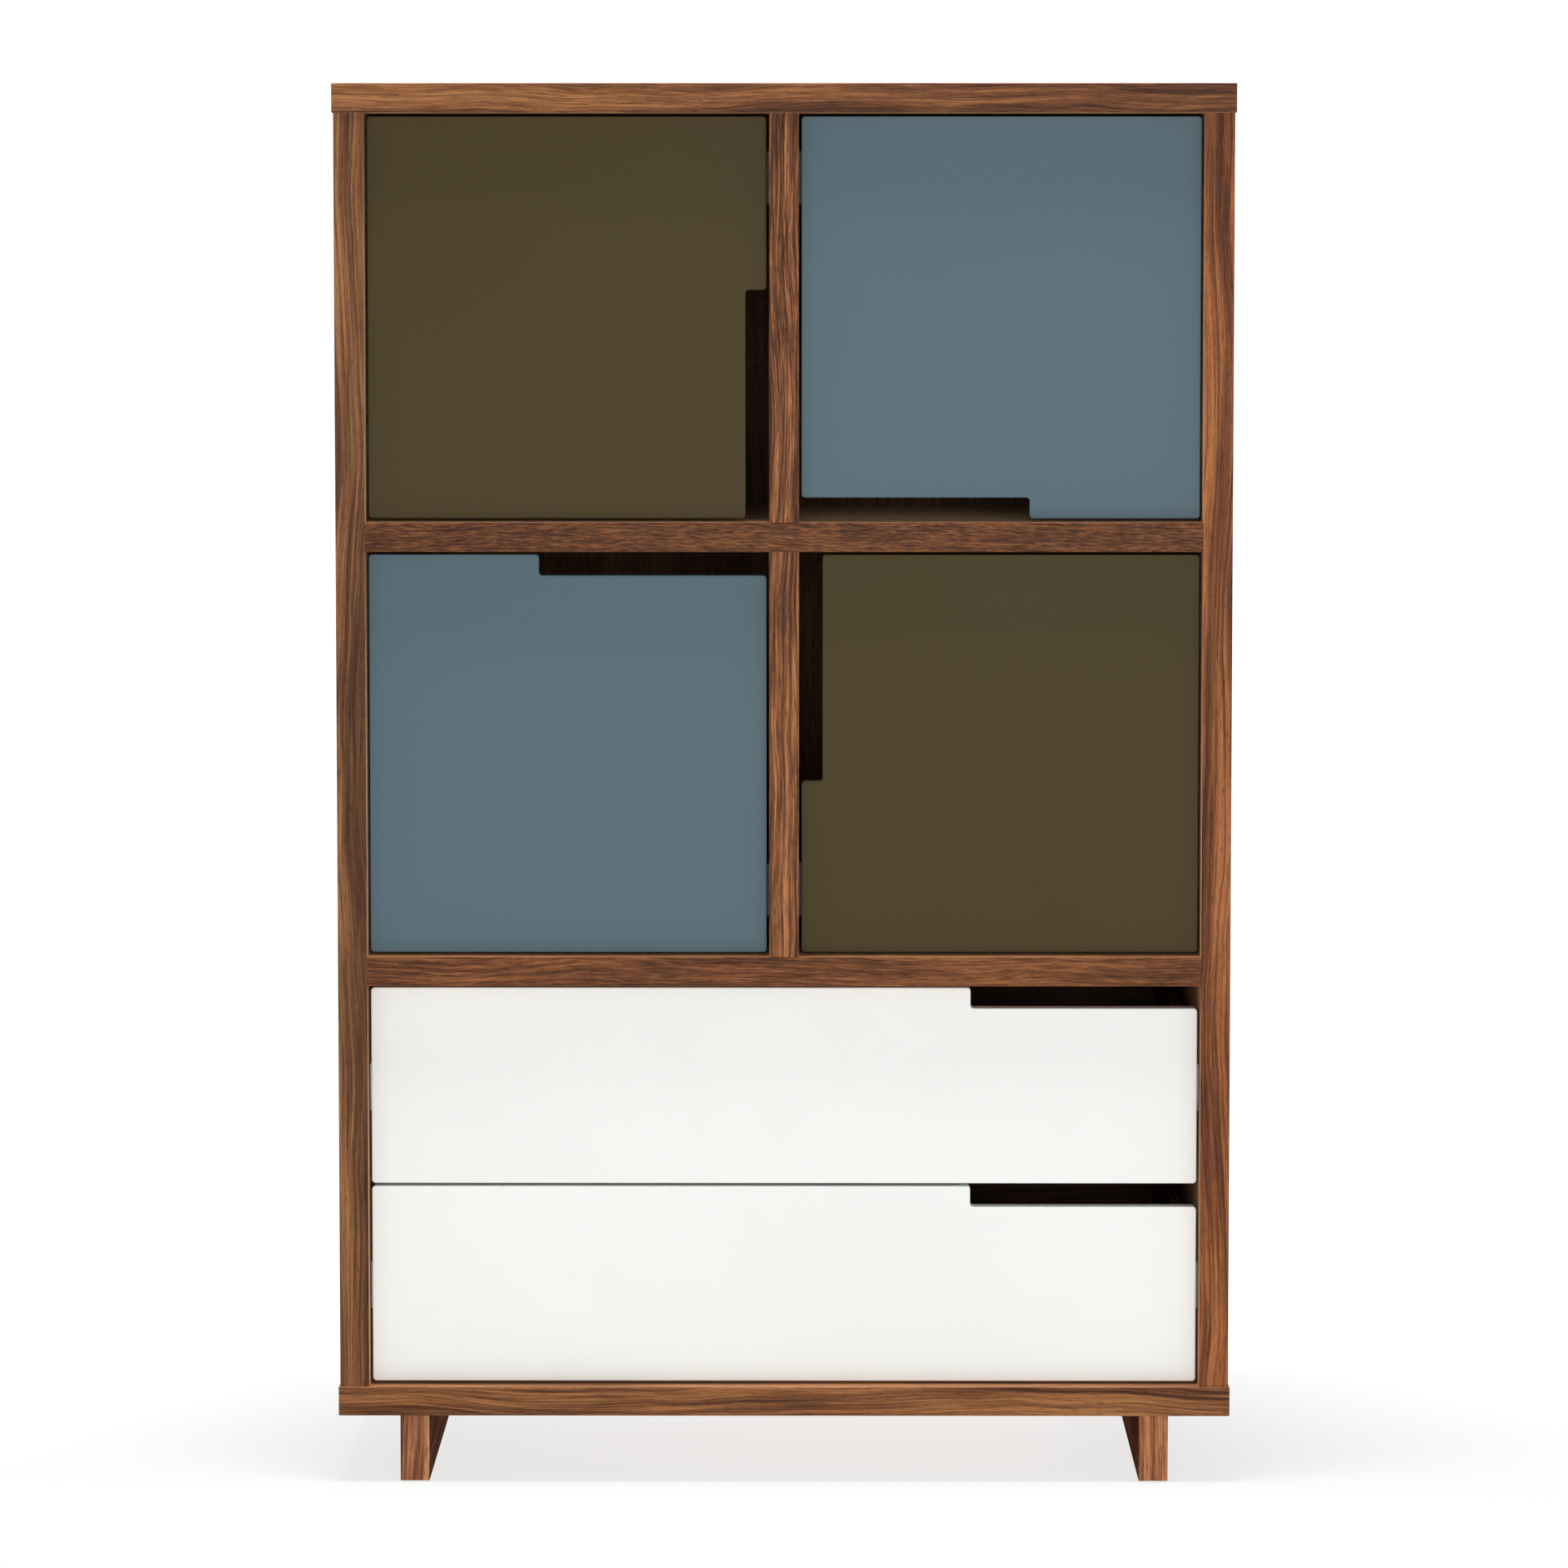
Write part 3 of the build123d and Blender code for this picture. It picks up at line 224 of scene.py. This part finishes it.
BEND_SCALE = (2.4, 7)  # slow bends of the grain
BEND_REACH = 0.045
WAVE_SCALE = (11, 34)  # quick waves of the grain
WAVE_REACH = 0.006
HEART_PLACE = (0.35, 0.65)  # where the arches have their middle, as a share of a leaf
ARCH_SLOPE = (0.03, 0.05)  # how fast the arches close along the board
ARCH_RISE = 0.06
ARCH_BEND = 0.05
ARCH_TIP = 0.03
RING_SPACING = 0.0054
LATE_WOOD_POWER = 2.8  # the darkening within one ring
LATE_WOOD_END = 0.90  # where in the ring it starts to fade

# Patterns, as scale along, scale across, roughness and weight. Each pair is the value for broad soft
# bands and the value for short close streaks.
PATTERNS = {
    "band": ((2.2, 2.2), (40, 40), 0.55, (2.9, 0.7)),
    "streak": ((4, 24), (300, 480), 0.62, (1.7, 1.6)),
    "fibre": ((13, 93), (760, 760), 0.65, (1.3, 2.2)),
}
PATTERN_DETAIL = 3
PORE_SCALE = (90, 1300)
PORE_EDGE = (0.57, 0.68)  # the noise levels where a pore starts and where it is full
PORE_DARKNESS = 0.5
LINE_DARKNESS = (1.15, 0.6)  # of growth lines: among broad bands, and among short streaks
WALNUT_TONES = ((0.10, WALNUT_DARK), (0.50, WALNUT_MID), (0.90, WALNUT_LIGHT))
WALNUT_ROUGHNESS = (0.40, 0.56)
WALNUT_RELIEF = 0.00012
FIBRE_HEIGHT = 0.35
PORE_DEPTH = 0.8
SHEEN_ROUGHNESS = 0.3
FACE_PAINTED_HAZE = (1.0, 1.15, 1.42)  # broad faces are this much paler than the edges, a painted reflection: the whitish haze of light at a low angle
FACE_CALM = 0.6  # and their grain has this share of the contrast

# First entry: how much lighter the broad faces are painted than the edges: painted light from above
# on the carcass, painted shade as under the cabinet on the legs. gloss: specular level. sheen: haze
# of the rubbed finish, seen at a low angle. Last entry: how much bluer the edges' colour is; on the
# legs this is a painted haze that stands in for the reflection that their zero gloss leaves out.
CARCASS_LOOK = {"painted_face_brightness": 2.05, "gloss": 0.14, "sheen": 0.25, "blue_and_painted_haze": 1.0}
LEG_LOOK = {"painted_face_brightness": 0.33, "gloss": 0.0, "sheen": 0.0, "blue_and_painted_haze": 1.3}


def between(fine, ends):
    """A value between two ends: the first where fine is 0, the second where it is 1."""
    broad, short = ends
    return broad + (short - broad) * fine


def tones(stops):
    """Ramp stops with linear colours, from stops with display colours."""
    return [(position, linear(colour)) for position, colour in stops]


def grain_space(g, along, thick, seed):
    """Lengthwise, sideways and depth coordinates of the veneer, and where it lies on a narrow strip.

    along and thick are the board's grain axis and thickness axis. The broad faces are laid in
    mirrored leaves. An edge or an end is a strip of its own, with the grain along the strip.
    """
    across = X + Y + Z - along - thick
    places = g.parts(g.object_space.outputs["Object"])
    normals = g.parts(g.object_space.outputs["Normal"])
    on_end = g.math("GREATER_THAN", g.math("ABSOLUTE", normals[along]), END_NORMAL)
    on_edge = g.math("GREATER_THAN", g.math("ABSOLUTE", normals[across]), END_NORMAL)
    on_strip = g.math("MAXIMUM", on_end, on_edge)
    leaf = g.math("PINGPONG", g.math("ADD", places[across], LEAF_WIDTH * FIRST_SEAM), LEAF_WIDTH)
    draw = random.Random(seed)
    lengthwise = g.math("ADD", g.blend(on_end, places[along], places[across]), draw.uniform(3, 9))
    strip_side = g.math("ADD", places[thick], draw.uniform(1, 2))
    sideways = g.blend(on_strip, leaf, strip_side)
    depth = g.blend(on_end, g.blend(on_edge, places[thick], places[across]), places[along])
    return lengthwise, sideways, g.math("ADD", depth, draw.uniform(3, 9)), on_strip


def growth_lines(g, length, side, depth, on_strip, draw):
    """Dark late wood: arches on the broad faces, wandering lines on the narrow strips."""
    bend = g.math("SUBTRACT", g.noise(g.stretched(length, side, depth, BEND_SCALE), detail=2), 0.5)
    wave = g.math("SUBTRACT", g.noise(g.stretched(length, side, depth, WAVE_SCALE), detail=3), 0.5)
    wander = g.math("ADD", g.math("MULTIPLY", bend, BEND_REACH), g.math("MULTIPLY", wave, WAVE_REACH))
    bent_side = g.math("ADD", side, wander)

    heart = g.math("SUBTRACT", bent_side, LEAF_WIDTH * draw.uniform(*HEART_PLACE))
    rise = g.math("PINGPONG", g.math("MULTIPLY", length, draw.uniform(*ARCH_SLOPE)), ARCH_RISE)
    height = g.math("ADD", rise, g.math("ADD", g.math("MULTIPLY", bend, ARCH_BEND), ARCH_TIP))
    squares = [g.math("MULTIPLY", value, value) for value in (heart, height)]
    arch = g.math("SQRT", g.math("ADD", *squares))
    ring = g.math("DIVIDE", g.blend(on_strip, arch, bent_side), RING_SPACING)
    share = g.math("FRACT", ring)
    strength = g.level(g.chance(g.math("FLOOR", ring)), 0.1, 1.0, 0.1, 1.0)
    darkening = g.math("POWER", share, LATE_WOOD_POWER)
    late_wood = g.math("MULTIPLY", darkening, g.level(share, 1.0, LATE_WOOD_END))
    return bent_side, g.math("MULTIPLY", late_wood, strength)


def walnut(name, board, look):
    """Walnut: growth lines, bands, streaks, fibres and pores, with painted light and shade on the
    broad faces.

    The last entry of board, fine, runs from 0, broad soft bands, to 1, short close streaks.
    """
    along, thick, seed, tone, red, contrast, fine = board
    g = Graph(name)
    draw = random.Random(seed + 100)
    length, side, depth, on_strip = grain_space(g, along, thick, seed)
    bent_side, line = growth_lines(g, length, side, depth, on_strip, draw)

    patterns = {}
    body = 0.0
    for kind, (scale_along, scale_across, rough, weight) in PATTERNS.items():
        scales = (between(fine, scale_along), between(fine, scale_across))
        at = g.stretched(length, bent_side, depth, scales)
        patterns[kind] = g.noise(at, detail=PATTERN_DETAIL, rough=rough)
        centred = g.math("SUBTRACT", patterns[kind], 0.5)
        body = g.math("ADD", body, g.math("MULTIPLY", centred, between(fine, weight)))
    fibre = patterns["fibre"]
    pore_at = g.stretched(length, bent_side, depth, PORE_SCALE)
    pore = g.level(g.noise(pore_at, detail=2, rough=0.6), *PORE_EDGE)

    strength = g.blend(on_strip, FACE_CALM * contrast, contrast)
    body_tone = g.ramp(g.math("ADD", g.math("MULTIPLY", body, strength), 0.5), tones(WALNUT_TONES))
    darkness = g.math("MULTIPLY", strength, between(fine, LINE_DARKNESS))
    lined = g.mix(g.math("MULTIPLY", line, darkness, clamp=True), body_tone, linear(WALNUT_STREAK))
    pored = g.mix(g.math("MULTIPLY", pore, PORE_DARKNESS), lined, linear(WALNUT_STREAK))
    # Edges: the look's last entry makes the legs' edges bluer, a painted haze that stands in for the
    # reflection that their zero gloss leaves out. Broad faces: painted light on the carcass, lighter
    # and paler than the edges as if lit from above and seen at a low angle; painted shade on the
    # legs, darker as under the cabinet.
    strip_stain_and_painted_haze = (tone * red, tone, tone * look["blue_and_painted_haze"] / red)
    face_stain_and_painted_light = tuple(channel * look["painted_face_brightness"] * pale for channel, pale in zip(strip_stain_and_painted_haze, FACE_PAINTED_HAZE))
    stain_and_painted_light = g.ramp(on_strip, [(0.0, (*face_stain_and_painted_light, 1.0)), (1.0, (*strip_stain_and_painted_haze, 1.0))])

    raised = g.math("MULTIPLY", fibre, FIBRE_HEIGHT)
    sunk = g.math("MULTIPLY", pore, PORE_DEPTH)
    g.bump(g.math("SUBTRACT", raised, sunk), depth=WALNUT_RELIEF)
    roughness = g.level(g.math("ADD", fibre, pore), 0.3, 1.3, *WALNUT_ROUGHNESS)
    g.surface(g.mix(1.0, pored, stain_and_painted_light, how="MULTIPLY"), roughness, specular=look["gloss"])
    g.shader.inputs["Sheen Weight"].default_value = look["sheen"]
    g.shader.inputs["Sheen Roughness"].default_value = SHEEN_ROUGHNESS
    g.shader.inputs["Sheen Tint"].default_value = linear(SHEEN_TINT)
    return g.material


# ---------------------------------------------------------------- plywood and beech
PLY_FIGURE_SCALE = (4, 42)
PLY_FINE_SCALE = (14, 420)
PLY_SPECK_SCALE = (260, 260)
PLY_LAYER = 0.0026  # thickness of one layer
PLY_START = 5.0  # keeps the count of layers above 0
PLY_TONES = ((0.36, STAIN_DARK), (0.48, STAIN_MID), (0.64, STAIN_LIGHT))
PLY_ROUGHNESS = (0.42, 0.54)
PLY_GLOSS = 0.18  # specular level


def plywood(name, along, thick, seed):
    """Plywood stained to go with the walnut: figured faces, and edges that show the layers."""
    g = Graph(name)
    across = X + Y + Z - along - thick
    draw = random.Random(seed)
    places = g.parts(g.object_space.outputs["Object"])
    normals = g.parts(g.object_space.outputs["Normal"])
    on_face = g.math("GREATER_THAN", g.math("ABSOLUTE", normals[thick]), END_NORMAL)
    length = g.math("ADD", places[along], draw.uniform(2, 6))
    side = places[across]
    figure_at = g.stretched(length, side, places[thick], PLY_FIGURE_SCALE)
    figure = g.noise(figure_at, detail=4, rough=0.6, twist=0.6)
    fine = g.noise(g.stretched(length, side, places[thick], PLY_FINE_SCALE), detail=3, rough=0.6)
    mixed = g.math("ADD", g.math("MULTIPLY", figure, 0.6), g.math("MULTIPLY", fine, 0.4))
    face = g.ramp(mixed, tones(PLY_TONES))

    layer = g.math("DIVIDE", g.math("ADD", places[thick], PLY_START), PLY_LAYER)
    speck_at = g.stretched(length, side, g.math("MULTIPLY", layer, 2), PLY_SPECK_SCALE)
    speck = g.noise(speck_at, detail=2)
    in_dark_layer = g.level(g.math("PINGPONG", layer, 1.0), 0.35, 0.65)
    layers = g.mix(in_dark_layer, linear(STAIN_LIGHT), linear(STAIN_DARK))
    edge = g.mix(g.math("MULTIPLY", speck, 0.45), layers, linear(STAIN_DARK))
    g.bump(fine, depth=0.00008)
    g.surface(g.mix(on_face, edge, face), g.level(fine, 0.2, 0.8, *PLY_ROUGHNESS), specular=PLY_GLOSS)
    return g.material


def dowel_wood(name):
    """Plain beech with small flecks."""
    g = Graph(name)
    at = g.object_space.outputs["Object"]
    fleck = g.noise(at, scale=420, detail=3)
    colour = g.mix(g.math("MULTIPLY", fleck, 0.5), linear(BEECH), linear(BEECH_FLECK))
    g.bump(fleck, depth=0.0001)
    g.surface(colour, g.level(fleck, 0.3, 0.7, 0.55, 0.7))
    return g.material


# ---------------------------------------------------------------- lacquer, metal and plastic
LACQUER_GLOSS = 0.16  # specular level
LACQUER_ROUGHNESS = 0.48
LACQUER_CLOUDING = 0.015
BRUSH_ALONG = 60  # scales of brushed metal, along the brushing and across it
BRUSH_ACROSS = 2600
SPANGLE_SCALE = 900  # scale of metal that isn't brushed
METAL_DULLING = 0.72


def lacquer(name, colour, seed):
    """Sprayed satin lacquer: a faint orange peel, soft clouding, and dust in the gloss."""
    g = Graph(name)
    draw = random.Random(seed)
    shift = g.node("ShaderNodeMapping")
    shift.inputs["Location"].default_value = [draw.uniform(1, 5) for _ in range(3)]
    g.feed(shift.inputs["Vector"], g.object_space.outputs["Object"])
    at = shift.outputs[0]
    cloud = g.noise(at, scale=5, detail=3, rough=0.5)
    peel = g.noise(at, scale=520, detail=2, rough=0.4)
    dust = g.level(g.noise(at, scale=1900, detail=1), 0.68, 0.8)
    dull = shaded(linear(colour), 1 - LACQUER_CLOUDING)
    bright = shaded(linear(colour), 1 + LACQUER_CLOUDING)
    clouded = g.ramp(cloud, [(0.35, dull), (0.65, bright)])
    fleck = g.mix(g.math("MULTIPLY", dust, 0.06), clouded, linear(DUST_GREY))
    smooth, rough = LACQUER_ROUGHNESS - 0.03, LACQUER_ROUGHNESS + 0.08
    g.bump(peel, depth=0.00006)
    roughness = g.level(g.math("ADD", cloud, dust), 0.3, 1.3, smooth, rough)
    g.surface(fleck, roughness, specular=LACQUER_GLOSS)
    return g.material


def metal(name, colour, roughness, brush_axis=None):
    """Plated steel or brass: fine brushing along an axis, or soft spangle, and dull patches."""
    g = Graph(name)
    places = g.parts(g.object_space.outputs["Object"])
    stretch = [BRUSH_ALONG if axis == brush_axis else BRUSH_ACROSS for axis in (X, Y, Z)]
    if brush_axis is None:
        stretch = [SPANGLE_SCALE] * 3
    scaled = [g.math("MULTIPLY", place, factor) for place, factor in zip(places, stretch)]
    brush = g.noise(g.point(*scaled), detail=3, rough=0.6)
    patch = g.noise(g.object_space.outputs["Object"], scale=35, detail=3)
    base = linear(colour)
    dull = shaded(base, METAL_DULLING)
    g.bump(brush, depth=0.00003)
    worn = g.math("ADD", g.math("MULTIPLY", brush, 0.5), g.math("MULTIPLY", patch, 0.5))
    g.surface(g.ramp(worn, [(0.35, dull), (0.62, base)]),
              g.level(worn, 0.3, 0.7, roughness + 0.10, roughness - 0.05), metallic=1.0)
    return g.material


def plastic(name, colour, roughness):
    """Moulded plastic with a fine spark-eroded texture."""
    g = Graph(name)
    at = g.object_space.outputs["Object"]
    stipple = g.noise(at, scale=2400, detail=2)
    cloud = g.noise(at, scale=60, detail=2)
    base = linear(colour)
    pale = tuple(min(1.0, channel * 1.18 + 0.004) for channel in base[:3]) + (1.0,)
    g.bump(stipple, depth=0.00005)
    g.surface(g.ramp(cloud, [(0.35, base), (0.7, pale)]),
              g.level(stipple, 0.3, 0.7, roughness - 0.06, roughness + 0.08))
    return g.material


# ---------------------------------------------------------------- which node gets what
# each board: grain axis, thickness axis, seed, tone, redness, contrast, fineness of the streaks
WALNUT_BOARDS = {
    "top_panel": (X, Z, 11, 0.89, 1.03, 0.84, 0.25),
    "bottom_panel": (X, Z, 12, 0.89, 1.02, 0.92, 0.05),
    "left_side_panel": (Z, X, 13, 0.93, 0.94, 0.8, 0.0),
    "right_side_panel": (Z, X, 14, 0.87, 1.19, 0.78, 0.05),
    "lower_shelf": (X, Z, 15, 0.67, 1.15, 0.87, 0.45),
    "upper_shelf": (X, Z, 16, 0.48, 1.18, 0.95, 1.0),
    "upper_divider": (Z, X, 17, 0.92, 1.07, 1.62, 0.15),
    "lower_divider": (Z, X, 18, 1.06, 1.06, 1.15, 0.15),
    "back_panel": (Z, Y, 19, 0.42, 1.05, 0.8, 0.2),
}
# The legs' tones are set high: painted light that makes up for the light which the cabinet above
# keeps off their fronts.
LEG_BOARDS = {
    "left_leg_board": (Y, X, 20, 1.74, 0.89, 0.7, 0.2),
    "right_leg_board": (Y, X, 21, 1.34, 0.97, 0.8, 0.2),
}
# each wall of a drawer box: grain axis, thickness axis
DRAWER_WALLS = {
    "inner_front": (X, Y),
    "back": (X, Y),
    "left_side": (Y, X),
    "right_side": (Y, X),
    "bottom": (X, Z),
}
FRONT_FINISH = {
    "upper_left_door": OLIVE,
    "upper_right_door": BLUE,
    "lower_left_door": BLUE,
    "lower_right_door": OLIVE,
    "upper_drawer_front": WHITE,
    "lower_drawer_front": WHITE,
}


def finish_node(node, material):
    slots = frame["nodes"][node].data.materials
    slots.clear()
    slots.append(material)


def dress_wood():
    for boards, look in ((WALNUT_BOARDS, CARCASS_LOOK), (LEG_BOARDS, LEG_LOOK)):
        for node, board in boards.items():
            finish_node(node, walnut(f"walnut_{node}", board, look))
    for number, row in enumerate(("upper", "lower")):
        for index, (wall, (along, thick)) in enumerate(DRAWER_WALLS.items()):
            name = f"{row}_drawer_{wall}"
            finish_node(name, plywood(f"ply_{name}", along, thick, 40 + 10 * number + index))
    finish_node("carcass_dowels", dowel_wood("beech"))


def dress_fronts():
    for seed, (node, colour) in enumerate(FRONT_FINISH.items()):
        finish_node(node, lacquer(f"lacquer_{node}", colour, 70 + seed))


def dress_hardware():
    """Everything that isn't wood takes its finish from the record's slot."""
    finishes = {
        "hinge_steel": metal("nickel_plate", NICKEL, 0.28),
        "zinc_steel": metal("zinc_plate", ZINC, 0.34),
        "runner_steel": metal("runner_steel", RUNNER_STEEL, 0.30, brush_axis=Y),
        "brass": metal("brass", BRASS, 0.32),
        "grey_plastic": plastic("grey_plastic", GREY_PLASTIC, 0.5),
        "black_plastic": plastic("black_plastic", BLACK_PLASTIC, 0.5),
    }
    for part in frame["record"]["subparts"]:
        if part["material_slot"] in finishes:
            finish_node(part["node"], finishes[part["material_slot"]])


# ---------------------------------------------------------------- balls in the drawer runners
WELD = 1e-6  # corners that are nearer than this are one
BALL_PITCH = 0.0085
CAGE_SHEET = 0.0008
CAGE_WAIST = 0.55  # width of the cage between two balls, as a share of its full width
CAGE_STEPS = 8  # sections of the cage for each ball
# the CAD node that each cage takes the place of, and the body that it rides on
RUNNER_BODIES = {
    "upper_runner_ball_cages": "upper_runner_middle",
    "lower_runner_ball_cages": "lower_runner_middle",
}


def boxes_in(node):
    """The lowest and highest corners of each separate solid in a CAD node."""
    welded = bmesh.new()
    welded.from_mesh(frame["nodes"][node].data)
    bmesh.ops.remove_doubles(welded, verts=welded.verts, dist=WELD)
    unseen = set(welded.verts)
    boxes = []
    while unseen:
        solid = [unseen.pop()]
        for vert in solid:
            for edge in vert.link_edges:
                neighbour = edge.other_vert(vert)
                if neighbour in unseen:
                    unseen.remove(neighbour)
                    solid.append(neighbour)
        low = [min(vert.co[axis] for vert in solid) for axis in (X, Y, Z)]
        high = [max(vert.co[axis] for vert in solid) for axis in (X, Y, Z)]
        boxes.append((low, high))
    welded.free()
    return sorted(boxes)


def ball_shape():
    """Corners and faces of a ball of radius 1."""
    ball = bmesh.new()
    bmesh.ops.create_uvsphere(ball, u_segments=16, v_segments=10, radius=1)
    ball.verts.index_update()
    corners = [vert.co.copy() for vert in ball.verts]
    faces = [[vert.index for vert in face.verts] for face in ball.faces]
    ball.free()
    return corners, faces


def cage_strip(low, high, balls):
    """Corners and faces of a thin strip, from low to high, with a waist between each two balls."""
    middle = (Vector(low) + Vector(high)) / 2
    half_wide = (high[X] - low[X]) / 2
    steps = balls * CAGE_STEPS
    corners = []
    for step in range(steps + 1):
        swell = math.sin(math.pi * step / CAGE_STEPS) ** 2
        half = half_wide * (CAGE_WAIST + (1 - CAGE_WAIST) * swell)
        y = low[Y] + (high[Y] - low[Y]) * step / steps
        for side, up in ((-1, -1), (1, -1), (1, 1), (-1, 1)):
            corners.append((middle.x + side * half, y, middle.z + up * CAGE_SHEET / 2))
    faces = [(0, 3, 2, 1), tuple(4 * steps + corner for corner in range(4))]
    for step in range(steps):
        for corner in range(4):
            near, following = 4 * step + corner, 4 * step + (corner + 1) % 4
            faces.append((near, following, following + 4, near + 4))
    return corners, faces


def cage_with_balls(name, boxes):
    """A mesh of strips, material 0, and the balls that stand out above and below them, material 1."""
    ball_corners, ball_faces = ball_shape()
    points, faces, is_ball = [], [], []

    def add(corners, shape, ball):
        faces.extend([tuple(len(points) + corner for corner in face) for face in shape])
        points.extend(corners)
        is_ball.extend([ball] * len(shape))

    for low, high in boxes:
        balls = round((high[Y] - low[Y]) / BALL_PITCH)
        add(*cage_strip(low, high, balls), False)
        radius = (high[Z] - low[Z]) / 2
        for ball in range(balls):
            y = low[Y] + (high[Y] - low[Y]) * (ball + 0.5) / balls
            centre = Vector(((low[X] + high[X]) / 2, y, (low[Z] + high[Z]) / 2))
            add([centre + corner * radius for corner in ball_corners], ball_faces, True)
    mesh = bpy.data.meshes.new(name)
    mesh.from_pydata(points, [], faces)
    mesh.polygons.foreach_set("material_index", [int(ball) for ball in is_ball])
    mesh.polygons.foreach_set("use_smooth", is_ball)
    return mesh


def make_ball_cages():
    cage_finish = plastic("cage_plastic", BLACK_PLASTIC, 0.5)
    ball_finish = metal("ball_steel", ZINC, 0.16)
    for node, body in RUNNER_BODIES.items():
        mesh = cage_with_balls(f"{node}_with_balls", boxes_in(node))
        mesh.materials.append(cage_finish)
        mesh.materials.append(ball_finish)
        piece = bpy.data.objects.new(mesh.name, mesh)
        bpy.context.scene.collection.objects.link(piece)
        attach(piece, body)
        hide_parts(node)


# ---------------------------------------------------------------- studio
FLOOR_HALF = 14.0
SWEEP_START = 5.0  # behind the cabinet, where the floor starts to curve up
SWEEP_RADIUS = 3.0
SWEEP_STEPS = 24
SWEEP_TOP = 9.0
FLOOR_GLOW = 0.755
BACKDROP_GLOW = 0.96
GLOW_RISE = (-0.2, 0.9)  # from the front of the cabinet to behind it, the floor glows more and more
GLOW_FALL = (-3.4, -2.4)  # it also glows more far in front, where the light of the fill softbox ends
WORLD_LIGHT = 0.32
TOP_SOFTBOX = {"place": (-0.1, -0.5, 4.6), "size": (1.0, 0.8), "power": 185}
FILL_SOFTBOX = {"place": (0.3, -3.6, 0.9), "size": (2.6, 1.6), "power": 42}


def floor_material():
    """Pale and luminous, so that shadows on it stay light, and brighter up the backdrop."""
    g = Graph("studio_floor")
    tone = g.noise(g.object_space.outputs["Object"], scale=0.6, detail=2)
    depth = g.parts(g.object_space.outputs["Object"])[Y]
    pale = linear(FLOOR_TONE)
    colour = g.ramp(tone, [(0.3, shaded(pale, 0.985)), (0.7, pale)])
    g.surface(colour, roughness=0.9, specular=0.0)
    g.shader.inputs["Emission Color"].default_value = linear(FLOOR_LIGHT)
    behind = g.level(depth, *GLOW_RISE, FLOOR_GLOW, BACKDROP_GLOW)
    far_front = g.level(depth, *GLOW_FALL, BACKDROP_GLOW, FLOOR_GLOW)
    g.feed(g.shader.inputs["Emission Strength"], g.math("MAXIMUM", behind, far_front))
    return g.material


def make_floor():
    """A floor that curves up into a backdrop behind the cabinet."""
    profile = [(-FLOOR_HALF, 0.0), (SWEEP_START, 0.0)]
    for step in range(1, SWEEP_STEPS + 1):
        angle = math.pi / 2 * step / SWEEP_STEPS
        y = SWEEP_START + SWEEP_RADIUS * math.sin(angle)
        profile.append((y, SWEEP_RADIUS * (1 - math.cos(angle))))
    profile.append((SWEEP_START + SWEEP_RADIUS, SWEEP_TOP))
    points = [(x, y, z) for y, z in profile for x in (-FLOOR_HALF, FLOOR_HALF)]
    faces = [(2 * i, 2 * i + 1, 2 * i + 3, 2 * i + 2) for i in range(len(profile) - 1)]
    mesh = bpy.data.meshes.new("studio_sweep")
    mesh.from_pydata(points, [], faces)
    mesh.shade_smooth()
    mesh.materials.append(floor_material())
    floor = bpy.data.objects.new("studio_sweep", mesh)
    bpy.context.scene.collection.objects.link(floor)


def make_light(name, aim, place, size, power):
    data = bpy.data.lights.new(name, "AREA")
    data.shape = "RECTANGLE"
    data.size, data.size_y = size
    data.energy = power
    light = bpy.data.objects.new(name, data)
    light.location = place
    light.rotation_euler = (Vector(aim) - Vector(place)).to_track_quat("-Z", "Y").to_euler()
    light.visible_camera = False
    bpy.context.scene.collection.objects.link(light)


def make_world():
    """White where it is seen past the end of the floor, and dimmer as a light."""
    world = bpy.data.worlds.new("studio_white")
    world.use_nodes = True
    nodes, links = world.node_tree.nodes, world.node_tree.links
    background = nodes["Background"]
    background.inputs["Color"].default_value = (1, 1, 1, 1)
    seen = nodes.new("ShaderNodeLightPath").outputs["Is Camera Ray"]
    strength = nodes.new("ShaderNodeMapRange")
    strength.inputs["To Min"].default_value = WORLD_LIGHT
    strength.inputs["To Max"].default_value = 1.0
    links.new(seen, strength.inputs["Value"])
    links.new(strength.outputs["Result"], background.inputs["Strength"])
    bpy.context.scene.world = world


def make_studio():
    make_world()
    middle = (0, 0, CAD_HIGH.z / 2)
    make_light("top_softbox", middle, **TOP_SOFTBOX)
    make_light("fill_softbox", middle, **FILL_SOFTBOX)
    bpy.context.scene.view_settings.view_transform = "Standard"


def make_camera():
    data = bpy.data.cameras.new("front_camera")
    data.lens = LENS_MM
    data.shift_y = SHIFT_Y
    data.clip_end = CAMERA_REACH
    camera = bpy.data.objects.new("front_camera", data)
    front = CAD_LOW.y
    camera.location = (CAMERA_RIGHT, front - CAMERA_DISTANCE, CAMERA_HEIGHT)
    aim = Vector((0, front, AIM_HEIGHT)) - camera.location
    camera.rotation_euler = aim.to_track_quat("-Z", "Y").to_euler()
    bpy.context.scene.collection.objects.link(camera)
    bpy.context.scene.camera = camera


make_camera()
make_studio()
make_floor()
dress_wood()
dress_fronts()
dress_hardware()
make_ball_cages()
